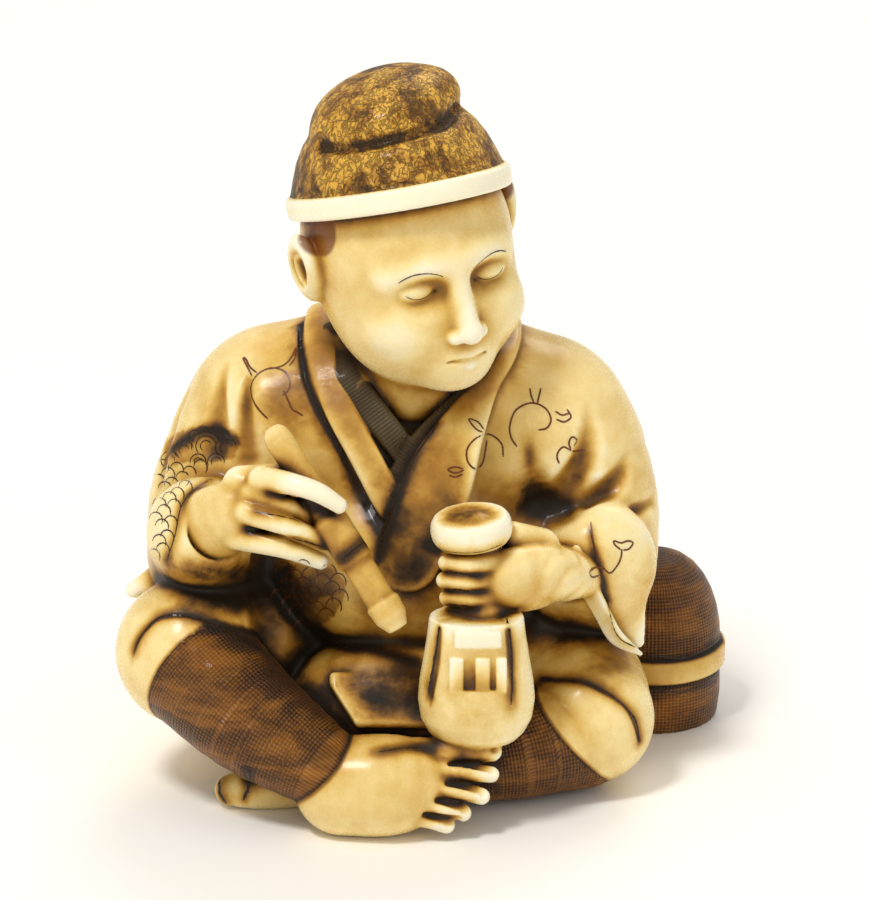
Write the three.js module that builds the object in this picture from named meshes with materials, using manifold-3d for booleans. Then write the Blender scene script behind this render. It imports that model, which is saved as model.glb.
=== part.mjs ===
// A netsuke: a man in a soft cap sits cross-legged with a bamboo rod in one hand and a slotted rattle
// in the other, a tied bundle behind him. Carved from one piece, it stands on its flattened underside.
// Millimetres, +Z up, the figure's front towards -Y. The origin is on the underside, under the trunk.

import * as THREE from "three";
import { mergeVertices } from "three/addons/utils/BufferGeometryUtils.js";
import Module from "manifold-3d";

// Driving sizes.
const figureHeight = 36; // underside to the top of the cap
const capBandHeight = 1.2; // the pale band round the brow
const capBandProud = 0.35; // how far it stands out from the brow
const rodRadius = 0.8; // at its thickest joint
const rodLength = 11.6;
const rattleWidth = 5.7;
const rattleDepth = 4.2;
const rattleHeight = 6.6;
const knobRadius = 2.0; // the round end above the left fist
const knobHeight = 1.35;
const bundleRadius = 3.7;
const bundleHeight = 8.7;
const bundleBandHeight = 1.35; // the tie round the bundle
const bundleBandLevel = 2.7; // its lower edge above the ground
const collarWidth = 1.5;
const collarThickness = 0.7;
const cordHoleRadius = 1.25; // the cord channel's bore
const cordHoleSpacing = 6.4; // from one mouth to the other, across the back

// The carver's unit, one 36th of the height: the free forms are laid out in it.
const unit = figureHeight / 36;

const wasm = await Module();
wasm.setup();

const at = (x, y, z) => new THREE.Vector3(x, y, z).multiplyScalar(unit);
const deg = THREE.MathUtils.degToRad;

// A closed geometry as a solid: seams are merged, and triangles that collapse at a pole are dropped.
function solid(geometry) {
  const bare = geometry.clone();
  bare.deleteAttribute("normal");
  bare.deleteAttribute("uv");
  const merged = mergeVertices(bare, 1e-5);
  const corners = merged.index.array;
  const kept = [];
  for (let i = 0; i < corners.length; i += 3) {
    const [a, b, c] = [corners[i], corners[i + 1], corners[i + 2]];
    if (a !== b && b !== c && c !== a) kept.push(a, b, c);
  }
  return new wasm.Manifold(
    new wasm.Mesh({
      numProp: 3,
      vertProperties: merged.attributes.position.array,
      triVerts: new Uint32Array(kept),
    }),
  );
}

// A turn as [about X, about Y, about Z] in degrees, applied Y first and Z last.
function turned([x, y, z]) {
  return new THREE.Matrix4().makeRotationFromEuler(new THREE.Euler(deg(x), deg(y), deg(z), "ZXY"));
}

// An ellipsoid: centre, three radii in units, and a turn.
function ball(centre, radii, turn = [0, 0, 0], around = 16) {
  const geometry = new THREE.SphereGeometry(1, around, Math.round(around * 0.7));
  geometry.rotateX(Math.PI / 2);
  geometry.scale(...radii.map((r) => r * unit));
  geometry.applyMatrix4(turned(turn));
  geometry.translate(centre.x, centre.y, centre.z);
  return geometry;
}

// A round-ended limb through stations [x, y, z, radius] in units. thin flattens it along up.
function limb(stations, { around = 10, steps = 3, up = [0, 0, 1], thin = 1, caps = 3 } = {}) {
  const curve = new THREE.CatmullRomCurve3(stations.map(([x, y, z]) => at(x, y, z)), false, "centripetal");
  const spans = stations.length - 1;
  const radiusAt = (t) => {
    const k = Math.min(Math.floor(t * spans), spans - 1);
    const share = t * spans - k;
    return (stations[k][3] * (1 - share) + stations[k + 1][3] * share) * unit;
  };
  const geometry = new THREE.CapsuleGeometry(1, 2, caps, around, spans * steps);
  const place = geometry.attributes.position;
  const hint = new THREE.Vector3(...up);
  for (let i = 0; i < place.count; i++) {
    const level = place.getY(i);
    const held = THREE.MathUtils.clamp(level, -1, 1);
    const t = (held + 1) / 2;
    const along = curve.getTangent(t);
    const rise = hint.clone().addScaledVector(along, -hint.dot(along)).normalize();
    const side = along.clone().cross(rise);
    const r = radiusAt(t);
    const point = curve.getPoint(t)
      .addScaledVector(along, (level - held) * r)
      .addScaledVector(side, place.getX(i) * r)
      .addScaledVector(rise, place.getZ(i) * r * thin);
    place.setXYZ(i, point.x, point.y, point.z);
  }
  return geometry;
}

// The head's own frame: x to the figure's left, -y out of the face, z up; turned and bowed on the neck.
const headCentre = at(-0.4, -1.3, 26.2);
const headTurn = [5, -7, 28];
const headMatrix = turned(headTurn).setPosition(headCentre);
const inHead = (geometry) => geometry.applyMatrix4(headMatrix);
const sides = [-1, 1];

function head() {
  return [
    inHead(ball(at(0, 0.2, 1.2), [5.15, 5.5, 5.5], [0, 0, 0], 14)), // skull
    inHead(ball(at(0, -1.7, -1.7), [4.5, 4.2, 3.9], [0, 0, 0], 14)), // cheeks and jaw
    inHead(ball(at(0, -4.2, -4.1), [1.6, 1.3, 1.1], [0, 0, 0], 8)), // chin
    inHead(ball(at(0, -5.5, -1.3), [0.9, 0.9, 0.7], [0, 0, 0], 8)), // tip of the nose
    inHead(limb([[0, -5.0, 0.8, 0.5], [0, -5.5, -1.1, 0.6]], { around: 6, steps: 1, caps: 2 })), // its bridge
    inHead(limb([[-1.1, -4.95, -2.8, 0.36], [0, -5.3, -2.8, 0.44], [1.1, -4.95, -2.8, 0.36]],
      { around: 6, steps: 1, caps: 2 })), // lips
    ...sides.map((s) => inHead(ball(at(1.9 * s, -4.5, 0.5), [0.95, 0.55, 0.55], [0, 0, 0], 8))), // closed lids
    ...sides.map((s) => inHead(ball(at(5.35 * s, 0.6, 0.9), [0.7, 1.25, 2.0], [12, 12 * s, 0], 8))), // ears
    limb([[0.3, 1.5, 19.0, 3.3], [-0.1, -0.7, 23.2, 2.9]], { around: 10, steps: 1, caps: 2 }), // neck
  ];
}

function cap() {
  const bandTilt = [-21, 4, 0];
  const bandCentre = at(-0.05, 0.5, 3.6);
  const profile = [[0, 0], [5.15, 0], [5.2, 0.6], [4.75, 1.8], [3.9, 3.0], [3.1, 4.1], [0, 4.7]];
  const crown = new THREE.LatheGeometry(profile.map(([r, z]) => new THREE.Vector2(r * unit, z * unit)), 18);
  const bandRadius = 5.15 * unit + capBandProud;
  const band = new THREE.CylinderGeometry(bandRadius, bandRadius, capBandHeight, 20, 1);
  for (const piece of [crown, band]) {
    piece.rotateX(Math.PI / 2);
    piece.scale(1, 1.08, 1);
    piece.applyMatrix4(turned(bandTilt));
    piece.translate(bandCentre.x, bandCentre.y, bandCentre.z);
  }
  return [
    inHead(crown),
    inHead(band),
    inHead(ball(at(-0.2, 1.6, 7.7), [3.6, 3.7, 1.8], [-12, -10, 0], 12)), // the top that flops over
  ];
}

// The robe, with its sleeves hollowed at the mouth.
function robe() {
  const fall = [[0, -0.5], [9.4, -0.5], [10.4, 2.2], [10.2, 5], [9.3, 8.5], [9.1, 13], [8.3, 17], [6.6, 20], [4.2, 21.6], [0, 22.4]];
  const skirt = new THREE.LatheGeometry(fall.map(([r, z]) => new THREE.Vector2(r * unit, z * unit)), 18);
  skirt.rotateX(Math.PI / 2);
  skirt.scale(1, 0.74, 1);
  skirt.applyMatrix4(new THREE.Matrix4().makeShear(0, 0, 0, 0, 0, -0.09)); // the back leans forward as it rises
  skirt.translate(-0.8 * unit, 3.4 * unit, 0);
  const cloth = [
    skirt, // trunk and seat
    limb([[-6.7, 1.5, 16.8, 5.0], [0, 1.4, 17.6, 5.2], [5.7, 1.5, 16.3, 5.0]], { around: 14, steps: 1, caps: 3 }), // shoulders
    limb([[-8.3, 1.2, 14.8, 4.5], [-9.5, 0.3, 12.8, 3.9], [-10.0, -1.0, 10.8, 3.3]], { around: 12, steps: 1 }), // right arm
    limb([[7.0, 1.2, 14.4, 4.7], [8.0, 0.4, 12.2, 4.0], [8.4, -1.2, 9.8, 3.2]], { around: 12, steps: 1 }), // left arm
    limb([[-10.0, -1.0, 11.0, 3.2], [-10.6, -4.6, 13.3, 2.7]], { around: 12, steps: 1, caps: 2 }), // right sleeve
    limb([[8.6, -1.4, 10.2, 3.0], [8.4, -4.4, 11.2, 2.6]], { around: 12, steps: 1, caps: 2 }), // left sleeve
    limb([[-11.0, 0.4, 10.0, 1.6], [-14.0, -0.4, 8.7, 0.6]], { around: 8, steps: 1, caps: 2, thin: 0.7 }), // right sleeve's corner
    ball(at(-1.0, -1.8, 11.0), [6.6, 4.9, 5.0], [0, 0, 0], 14), // belly
    ball(at(-1.4, -5.0, 4.6), [5.0, 3.6, 3.4], [0, 0, 0], 12), // the robe's front laid over the lap
  ];
  const hollows = [
    limb([[-10.0, -4.2, 13.2, 1.9], [-9.3, -8.6, 14.8, 2.3]], { around: 10, steps: 1, caps: 2 }), // right sleeve's mouth
    limb([[8.0, -4.4, 11.4, 1.8], [6.0, -9.0, 12.0, 2.6]], { around: 10, steps: 1, caps: 2 }), // left sleeve's mouth
    limb([[-9.7, -0.9, 20.2, 0.1], [-9.9, -2.2, 17.6, 0.95]], { around: 6, steps: 1, caps: 2 }), // folds over the right elbow
    limb([[-8.5, -2.0, 19.6, 0.1], [-8.4, -3.0, 17.2, 0.7]], { around: 6, steps: 1, caps: 2 }),
    limb([[5.3, -3.7, 17.8, 0.1], [5.9, -3.5, 14.4, 1.1]], { around: 6, steps: 1, caps: 2 }), // folds over the left elbow
    limb([[8.6, -2.4, 18.2, 0.15], [7.4, -3.4, 14.5, 1.0]], { around: 6, steps: 1, caps: 2 }),
    limb([[10.6, -1.6, 16.2, 0.1], [8.6, -3.0, 14.2, 0.7]], { around: 6, steps: 1, caps: 2 }),
    limb([[8.8, -3.6, 13.6, 0.45], [11.2, -1.2, 13.4, 0.15]], { around: 6, steps: 1, caps: 2 }),
    limb([[-6.6, -6.4, 8.0, 0.5], [-2.8, -7.9, 7.6, 0.55], [1.0, -7.6, 7.4, 0.5]], { around: 6, steps: 1, caps: 2 }), // under the belly
    limb([[-7.4, -4.6, 12.2, 0.8], [-6.8, -6.2, 8.6, 1.3]], { around: 6, steps: 1, caps: 2 }), // between belly and right sleeve
  ];
  const whole = wasm.Manifold.union(cloth.map(solid));
  return whole.subtract(wasm.Manifold.union(hollows.map(solid)));
}

// What lies on the robe: its collars, the flap on the lap, the left sleeve's edge and the hems over the knees.
function trimmings() {
  const wide = collarWidth / 2 / unit;
  const band = (points, share, up) => limb(points.map(([x, y, z]) => [x, y, z, wide * share]),
    { around: 6, steps: 1, caps: 2, up, thin: collarThickness / collarWidth / share });
  const hem = (centre, axis, radius, tube) => {
    const ring = new THREE.TorusGeometry(radius * unit, tube * unit, 4, 16);
    ring.applyQuaternion(new THREE.Quaternion().setFromUnitVectors(new THREE.Vector3(0, 0, 1), new THREE.Vector3(...axis).normalize()));
    return ring.translate(centre.x, centre.y, centre.z);
  };
  return [
    band([[0, 4.4, 21.5], [-4.0, 3.3, 22.0], [-5.0, 0.6, 21.8], [-4.3, -2.4, 20.3], [-2.6, -4.2, 17.0], [-1.0, -6.0, 13.8]], 1, [0, -0.5, 0.8]),
    band([[-4.0, 0.6, 22.3], [-3.3, -1.9, 20.9], [-1.9, -3.6, 18.4], [-0.1, -4.4, 15.8]], 0.8, [0, -0.7, 0.7]), // inner right collar
    band([[4.0, 0.4, 21.9], [3.4, -2.6, 20.0], [1.8, -3.8, 17.8], [-0.6, -4.5, 15.6]], 0.9, [0, -0.7, 0.7]), // inner left collar
    band([[0, 4.4, 21.5], [4.1, 3.1, 21.6], [4.9, 0.3, 21.5], [4.2, -2.2, 20.4], [2.9, -3.9, 18.4], [0.8, -5.3, 15.4], [-1.4, -6.8, 12.2]], 1, [0, -0.5, 0.8]),
    limb([[-3.6, -7.6, 7.6, 0.6], [-3.0, -9.0, 5.4, 0.7], [0.4, -9.2, 4.8, 0.6]], { around: 6, steps: 2, caps: 2, up: [0, -0.9, 0.4] }), // flap
    limb([[7.4, -6.2, 13.4, 0.6], [8.4, -5.6, 10.6, 0.75], [9.8, -4.4, 8.2, 0.6], [11.3, -3.4, 6.8, 0.8]],
      { around: 6, steps: 2, caps: 2, up: [-0.5, -0.8, 0.3], thin: 0.6 }), // left sleeve's hanging edge
    limb([[8.6, -3.6, 12.8, 1.8], [9.6, -3.4, 9.6, 1.3]], { around: 8, steps: 1, caps: 2 }), // left sleeve's front
    hem(at(-10.6, -5.7, 6.9), [0.62, -0.68, -0.4], 3.15, 0.5), // right knee
    hem(at(8.0, -4.6, 4.4), [0.35, 0.4, 0.85], 3.0, 0.5), // left knee
  ];
}

function legs() {
  return [
    limb([[-4.5, 2.0, 5.2, 4.3], [-8.8, -1.8, 6.6, 4.1], [-11.2, -4.8, 7.1, 3.7]], { around: 12, steps: 1 }), // right thigh
    limb([[-11.2, -5.6, 7.0, 3.2], [-8.2, -8.2, 5.0, 2.8], [-4.8, -10.0, 3.2, 2.1]], { around: 12, steps: 1 }), // right shin
    limb([[4.5, 2.0, 5.0, 4.2], [7.4, -2.0, 4.3, 3.7], [8.4, -4.6, 3.5, 3.3]], { around: 12, steps: 1 }), // left thigh
    limb([[7.8, -5.2, 3.0, 2.9], [3.5, -7.0, 2.5, 2.3], [-3.0, -6.8, 1.7, 1.6]], { around: 10, steps: 1 }), // left shin
    limb([[-3.0, -6.8, 1.4, 1.4], [-7.4, -7.5, 1.1, 1.2], [-9.2, -7.6, 0.9, 0.8]], { around: 8, steps: 1, caps: 2 }), // left foot
  ];
}

function rightFoot() {
  const toes = [
    [[0.6, -9.8, 3.5, 0.8], [3.9, -9.9, 3.7, 0.62]],
    [[0.6, -10.3, 2.9, 0.7], [3.8, -10.5, 2.75, 0.5]],
    [[0.4, -10.8, 2.2, 0.66], [3.3, -10.9, 1.95, 0.46]],
    [[0.2, -11.2, 1.5, 0.64], [2.5, -11.3, 1.2, 0.44]],
    [[0.0, -11.6, 0.9, 0.6], [1.4, -11.7, 0.6, 0.42]],
  ];
  return [
    limb([[-3.6, -10.4, 2.3, 2.45], [-1.6, -10.6, 2.4, 2.5], [0.8, -10.6, 2.3, 2.2]],
      { around: 12, steps: 1, up: [0, -0.86, 0.5], thin: 0.85 }), // heel, arch and ball
    ...toes.map((toe) => limb(toe, { around: 6, steps: 1, caps: 2 })),
  ];
}

function rightHand() {
  const fingers = [
    [[-7.9, -7.8, 17.0, 0.75], [-5.8, -8.9, 16.7, 0.72], [-3.9, -9.0, 16.0, 0.66]],
    [[-8.1, -8.0, 16.2, 0.7], [-5.9, -8.9, 15.6, 0.64], [-4.6, -8.4, 15.0, 0.56]],
    [[-8.4, -8.0, 15.2, 0.7], [-6.1, -8.9, 14.5, 0.64], [-4.6, -8.5, 13.9, 0.54]],
    [[-8.7, -7.8, 14.3, 0.68], [-6.4, -8.6, 13.6, 0.6], [-4.7, -8.4, 12.9, 0.5]],
  ];
  return [
    limb([[-10.0, -1.6, 12.0, 1.7], [-10.2, -6.0, 14.2, 1.75], [-8.4, -7.4, 15.4, 1.9]],
      { around: 8, steps: 1, up: [-0.6, -0.8, 0], thin: 0.75 }), // wrist and back of the hand
    ...fingers.map((finger) => limb(finger, { around: 6, steps: 1, caps: 2 })),
    limb([[-8.6, -6.6, 16.6, 0.85], [-6.2, -6.6, 16.9, 0.7]], { around: 6, steps: 1, caps: 2 }), // thumb
  ];
}

function leftHand() {
  const fingerLevels = [13.9, 12.95, 12.0, 11.2];
  const finger = (z, i) => [[4.2, -9.2, z, 0.6], [2.2, -9.9, z, 0.56], [1.0, -8.9, z - 0.1, 0.48]]
    .map(([x, y, level, r]) => [x + 0.12 * i, y, level, r]);
  return [
    limb([[8.4, -3.4, 11.0, 1.7], [6.0, -7.4, 12.2, 1.9], [3.8, -8.9, 12.6, 1.9]],
      { around: 8, steps: 1, up: [-0.5, -0.85, 0], thin: 0.7 }), // wrist and back of the hand
    ...fingerLevels.map((z, i) => limb(finger(z, i), { around: 6, steps: 1, caps: 2 })),
    limb([[6.0, -6.8, 13.4, 0.9], [4.6, -7.6, 14.2, 0.75]], { around: 6, steps: 1, caps: 2 }), // thumb
  ];
}

// The bamboo rod: two joints with their nodes, the lower end cut to facets.
function rod() {
  const top = at(-7.1, -6.6, 19.5);
  const tip = at(-0.9, -10.2, 10.4);
  const profile = [[0, 0], [0.5, 0.02], [0.62, 0.08], [0.72, 0.4], [0.8, 0.41], [1, 0.46], [1, 0.66], [0.84, 0.67],
    [0.8, 0.86], [0.98, 0.87], [0.9, 0.94], [0.5, 1], [0, 1]];
  const outline = profile.map(([r, t]) => new THREE.Vector2(r * rodRadius, -t * rodLength));
  const geometry = new THREE.LatheGeometry(outline.reverse(), 8);
  const along = tip.sub(top).normalize();
  geometry.applyQuaternion(new THREE.Quaternion().setFromUnitVectors(new THREE.Vector3(0, -1, 0), along));
  return [geometry.translate(top.x, top.y, top.z)];
}

// The rattle below the left fist, its slotted window cut in, with its neck and round end above.
function rattle() {
  const foot = at(2.85, -9.6, 4.3);
  const outline = [[0, 0], [0.55, 0.01], [0.8, 0.07], [0.96, 0.2], [1, 0.38], [0.93, 0.62], [0.84, 0.85], [0.8, 1], [0, 1]];
  const body = new THREE.LatheGeometry(outline.map(([r, t]) => new THREE.Vector2(r * rattleWidth / 2, t * rattleHeight)), 16);
  body.rotateX(Math.PI / 2);
  body.scale(1, rattleDepth / rattleWidth, 1);
  body.translate(foot.x, foot.y, foot.z);
  // A block let into the front: x from the middle, z from the foot, w by h, its face at depth d from the widest point.
  const block = (x, z, w, h, d) => {
    const box = new THREE.BoxGeometry(w * rattleWidth, rattleDepth, h * rattleHeight);
    return box.translate(foot.x + x * rattleWidth, foot.y - (1 - d) * rattleDepth, foot.z + z * rattleHeight);
  };
  const window = block(0, 0.7, 0.53, 0.37, 0.22);
  const teeth = [-0.19, 0.03, 0.2].map((x) => block(x, 0.66, 0.13, 0.3, 0.9).translate(0, rattleDepth * 0.24, 0));
  const grooves = sides.map((s) => limb(
    [[0.32 * s, -0.41, 0.95], [0.4 * s, -0.36, 0.4]].map(([x, y, z]) => [
      (foot.x + x * rattleWidth) / unit, (foot.y + y * rattleDepth) / unit, (foot.z + z * rattleHeight) / unit, 0.26]),
    { around: 6, steps: 1, caps: 2 }));
  const neck = limb([[2.8, -8.6, 9.5, 1.3], [2.7, -8.5, 14.6, 1.3]], { around: 8, steps: 1, caps: 2 });
  const knob = new THREE.CylinderGeometry(knobRadius * 0.92, knobRadius * 0.92, knobHeight, 14, 1);
  const rim = new THREE.CylinderGeometry(knobRadius, knobRadius, knobHeight * 0.66, 14, 1);
  const knobs = [knob, rim].map((disc) => {
    disc.rotateX(Math.PI / 2);
    disc.applyMatrix4(turned([2, -5, 0]));
    return disc.translate(2.6 * unit, -8.6 * unit, 15.0 * unit);
  });
  const shell = solid(body);
  const cut = wasm.Manifold.union([window, ...grooves].map(solid));
  const combs = wasm.Manifold.union(teeth.map(solid)).intersect(shell);
  return wasm.Manifold.union([shell.subtract(cut), combs, ...[neck, ...knobs].map(solid)]);
}

function bundle() {
  const centre = at(11.9, 4.9, 0);
  const top = bundleBandLevel + bundleBandHeight;
  const proud = 0.93;
  const profile = [[0, 0], [0.86 * bundleRadius, 0], [0.92 * bundleRadius, 0.3], [proud * bundleRadius, bundleBandLevel],
    [bundleRadius, bundleBandLevel + 0.15], [bundleRadius, top - 0.15], [proud * bundleRadius, top]];
  const dome = 4;
  for (let i = 1; i <= dome; i++) {
    const a = (i / dome) * Math.PI / 2;
    profile.push([proud * bundleRadius * (i < dome ? Math.cos(a) ** 0.8 : 0), top + (bundleHeight - top) * Math.sin(a)]);
  }
  const geometry = new THREE.LatheGeometry(profile.map(([r, z]) => new THREE.Vector2(r, z)), 16);
  geometry.rotateX(Math.PI / 2);
  geometry.translate(centre.x, centre.y, centre.z);
  const tie = limb([[10.9, 3.4, 7.8, 0.8], [11.5, 3.0, 10.6, 0.5]], { around: 6, steps: 1, caps: 2 });
  return [geometry, tie];
}

// The channel for the cord: two mouths on the back, joined by a bend inside.
function cordChannel() {
  const bend = new THREE.TorusGeometry(cordHoleSpacing / 2, cordHoleRadius, 7, 14);
  return solid(bend.translate(-0.8 * unit, 10.7 * unit, 5.6 * unit));
}

const forms = [...head(), ...cap(), ...trimmings(), ...legs(), ...rightFoot(), ...rightHand(), ...leftHand(), ...rod(), ...bundle()];
let carving = wasm.Manifold.union([robe(), rattle(), ...forms.map(solid)]).subtract(cordChannel());

// The underside is ground flat to stand on.
const ground = new THREE.BoxGeometry(4 * figureHeight, 4 * figureHeight, figureHeight);
carving = carving.subtract(solid(ground.translate(0, 0, -figureHeight / 2)));
// A pocket sealed between forms isn't part of the carving: only the outer skin is kept.
carving = carving.decompose().sort((a, b) => b.volume() - a.volume())[0];

const made = carving.getMesh();
const geometry = new THREE.BufferGeometry();
geometry.setAttribute("position", new THREE.BufferAttribute(made.vertProperties, 3));
geometry.setIndex(new THREE.BufferAttribute(made.triVerts, 1));
geometry.computeVertexNormals();

const ivory = new THREE.MeshStandardMaterial({ color: 0xe9d6a4, roughness: 0.32, metalness: 0 });
const netsuke = new THREE.Mesh(geometry, ivory);
netsuke.name = "netsuke";

const part = new THREE.Group();
part.add(netsuke);
export default part;
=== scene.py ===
import math

import bpy
import numpy as np
import openvdb
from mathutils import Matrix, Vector
from mathutils.bvhtree import BVHTree


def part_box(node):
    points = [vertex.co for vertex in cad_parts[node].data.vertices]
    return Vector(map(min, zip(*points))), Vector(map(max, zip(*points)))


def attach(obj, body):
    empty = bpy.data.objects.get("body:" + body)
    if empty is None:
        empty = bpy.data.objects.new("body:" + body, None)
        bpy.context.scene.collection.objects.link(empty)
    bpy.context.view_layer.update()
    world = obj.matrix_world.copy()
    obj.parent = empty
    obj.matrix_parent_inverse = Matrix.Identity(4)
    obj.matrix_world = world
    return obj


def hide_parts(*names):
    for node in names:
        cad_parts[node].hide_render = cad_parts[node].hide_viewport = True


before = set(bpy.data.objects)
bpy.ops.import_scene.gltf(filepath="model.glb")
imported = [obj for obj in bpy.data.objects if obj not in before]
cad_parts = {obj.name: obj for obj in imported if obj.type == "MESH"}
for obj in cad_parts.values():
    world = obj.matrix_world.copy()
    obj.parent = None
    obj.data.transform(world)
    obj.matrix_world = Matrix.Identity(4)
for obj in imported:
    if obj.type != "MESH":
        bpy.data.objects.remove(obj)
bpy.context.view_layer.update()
mm = 0.001  # everything below is laid out in millimetres and scaled once, when a mesh is made


# The carving kit: each form is a distance field with a box round it.

def turned(x, y, z):  # about Y first, then X, then Z, in degrees
    cx, sx = math.cos(math.radians(x)), math.sin(math.radians(x))
    cy, sy = math.cos(math.radians(y)), math.sin(math.radians(y))
    cz, sz = math.cos(math.radians(z)), math.sin(math.radians(z))
    aboutX = np.array([[1, 0, 0], [0, cx, -sx], [0, sx, cx]])
    aboutY = np.array([[cy, 0, sy], [0, 1, 0], [-sy, 0, cy]])
    aboutZ = np.array([[cz, -sz, 0], [sz, cz, 0], [0, 0, 1]])
    return aboutZ @ aboutX @ aboutY


world = (np.eye(3), np.zeros(3))


def moved(place, point):
    return place[0] @ np.array(point, float) + place[1]


def localAxes(place, x, y, z):  # world coordinates into the place's own
    turn, origin = place[0].tolist(), place[1].tolist()
    dx, dy, dz = x - origin[0], y - origin[1], z - origin[2]
    return [turn[0][i] * dx + turn[1][i] * dy + turn[2][i] * dz for i in range(3)]


def ball(centre, radii, turn=(0, 0, 0), place=world):
    own = (place[0] @ turned(*turn), moved(place, centre))
    reach = np.sqrt((own[0] ** 2) @ (np.array(radii) ** 2))

    def field(x, y, z):
        u, v, w = localAxes(own, x, y, z)
        u, v, w = u / radii[0], v / radii[1], w / radii[2]
        near = np.sqrt(u * u + v * v + w * w)
        slope = np.sqrt((u / radii[0]) ** 2 + (v / radii[1]) ** 2 + (w / radii[2]) ** 2)
        return near * (near - 1) / (slope + 1e-6)

    return {"field": field, "low": own[1] - reach, "high": own[1] + reach}


def smoothPath(stations, steps):  # Catmull-Rom through the stations; the radius goes along
    points = np.array(stations, float)
    if len(points) == 2 or steps == 1:
        return points
    padded = np.vstack([2 * points[0] - points[1], points, 2 * points[-1] - points[-2]])
    path = [points[0]]
    for i in range(len(points) - 1):
        a, b, c, d = padded[i:i + 4]
        for t in np.linspace(0, 1, steps + 1)[1:]:
            square, cube = 2 * a - 5 * b + 4 * c - d, 3 * b - a - 3 * c + d
            path.append(0.5 * (2 * b + (c - a) * t + square * t * t + cube * t ** 3))
    return np.array(path)


def limb(stations, thin=1, up=(0, 0, 1), steps=4, flat=0, place=world):
    # rows of x, y, z, radius and, where it twists, an up of its own
    # flat gives a band with edges of that softness
    rows = [list(row) + list(up) if len(row) == 4 else list(row) for row in stations]
    path = smoothPath(rows, steps)
    path[:, :3] = path[:, :3] @ place[0].T + place[1]
    path[:, 4:] = path[:, 4:] @ place[0].T
    reach = path[:, 3:4] * 1.05
    spans = []
    for a, b in zip(path[:-1], path[1:]):
        along = b[:3] - a[:3]
        length2 = max(along @ along, 1e-9)
        lean = a[4:] + b[4:]
        rise = lean - along * (lean @ along) / length2
        rise = rise / max(np.linalg.norm(rise), 1e-6)
        spans.append((a.tolist(), b.tolist(), along.tolist(), float(length2), rise.tolist()))

    def field(x, y, z):
        best = None
        for a, b, along, length2, rise in spans:
            dx, dy, dz = x - a[0], y - a[1], z - a[2]
            t = np.clip((dx * along[0] + dy * along[1] + dz * along[2]) / length2, 0, 1)
            dx, dy, dz = dx - t * along[0], dy - t * along[1], dz - t * along[2]
            gap2 = dx * dx + dy * dy + dz * dz
            radius = a[3] + t * (b[3] - a[3])
            lift = np.abs(dx * rise[0] + dy * rise[1] + dz * rise[2]) if thin != 1 else 0
            if thin == 1:
                here = np.sqrt(gap2) - radius
            elif flat:
                wide = np.sqrt(np.maximum(gap2 - lift * lift, 0)) - radius + flat
                high = lift - radius * thin + flat
                outside = np.sqrt(np.maximum(wide, 0) ** 2 + np.maximum(high, 0) ** 2)
                here = outside + np.minimum(np.maximum(wide, high), 0) - flat
            else:
                squashed = np.sqrt(gap2 + lift * lift * (1 / thin ** 2 - 1)) + 1e-6
                here = (squashed - radius) * (np.sqrt(gap2) + 1e-3) / (squashed + 1e-3)
            best = here if best is None else np.minimum(best, here)
        return best

    return {"field": field, "low": (path[:, :3] - reach).min(0), "high": (path[:, :3] + reach).max(0),
        "path": path}


def lathe(profile, oval=1, lean=0,  # profile of [radius, level]; lean shears it along -y as it rises
    place=world):
    corners = np.array(profile, float)
    corners = np.vstack([corners, [0, corners[-1][1]], [0, corners[0][1]]])
    wide = corners[:, 0].max() + abs(lean) * np.abs(corners[:, 1]).max()
    box = np.array([[x, y, z] for x in (-wide, wide) for y in (-wide, wide) for z in (corners[:, 1].min(),
        corners[:, 1].max())])
    box = box @ place[0].T + place[1]

    def field(x, y, z):
        u, v, w = localAxes(place, x, y, z)
        v = (v - lean * w) / oval
        r = np.sqrt(u * u + v * v)
        nearest, inside = None, np.zeros(r.shape, bool)
        for a, b in zip(corners.tolist(), np.roll(corners, -1, axis=0).tolist()):
            edge = (b[0] - a[0], b[1] - a[1])
            if a[0] > 0 or b[0] > 0:
                along = (r - a[0]) * edge[0] + (w - a[1]) * edge[1]
                t = np.clip(along / (edge[0] ** 2 + edge[1] ** 2 + 1e-9), 0, 1)
                gap = (r - a[0] - t * edge[0]) ** 2 + (w - a[1] - t * edge[1]) ** 2
                nearest = gap if nearest is None else np.minimum(nearest, gap)
            if edge[1]:
                inside ^= ((w >= a[1]) != (w >= b[1])) & (r < a[0] + (w - a[1]) * edge[0] / edge[1])
        return np.where(inside, -1, 1) * np.sqrt(nearest) * min(1, (1 + oval) / 2)

    return {"field": field, "low": box.min(0), "high": box.max(0)}


def slab(centre, size, soft=0.05, turn=(0, 0, 0)):  # a box with softened edges
    own = (turned(*turn), np.array(centre, float))
    reach = np.abs(own[0]) @ (np.array(size) / 2)
    half = [side / 2 - soft for side in size]

    def field(x, y, z):
        u, v, w = localAxes(own, x, y, z)
        u, v, w = np.abs(u) - half[0], np.abs(v) - half[1], np.abs(w) - half[2]
        outside = np.sqrt(np.maximum(u, 0) ** 2 + np.maximum(v, 0) ** 2 + np.maximum(w, 0) ** 2)
        return outside + np.minimum(np.maximum(np.maximum(u, v), w), 0) - soft

    return {"field": field, "low": own[1] - reach, "high": own[1] + reach}


def ring(centre, axis, radius, tube):
    axis = (np.array(axis) / np.linalg.norm(axis)).tolist()
    reach = radius + tube

    def field(x, y, z):
        dx, dy, dz = x - centre[0], y - centre[1], z - centre[2]
        lift = dx * axis[0] + dy * axis[1] + dz * axis[2]
        out = np.sqrt(np.maximum(dx * dx + dy * dy + dz * dz - lift * lift, 0)) - radius
        return np.sqrt(out * out + lift * lift) - tube

    return {"field": field, "low": np.array(centre) - reach, "high": np.array(centre) + reach}


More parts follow.
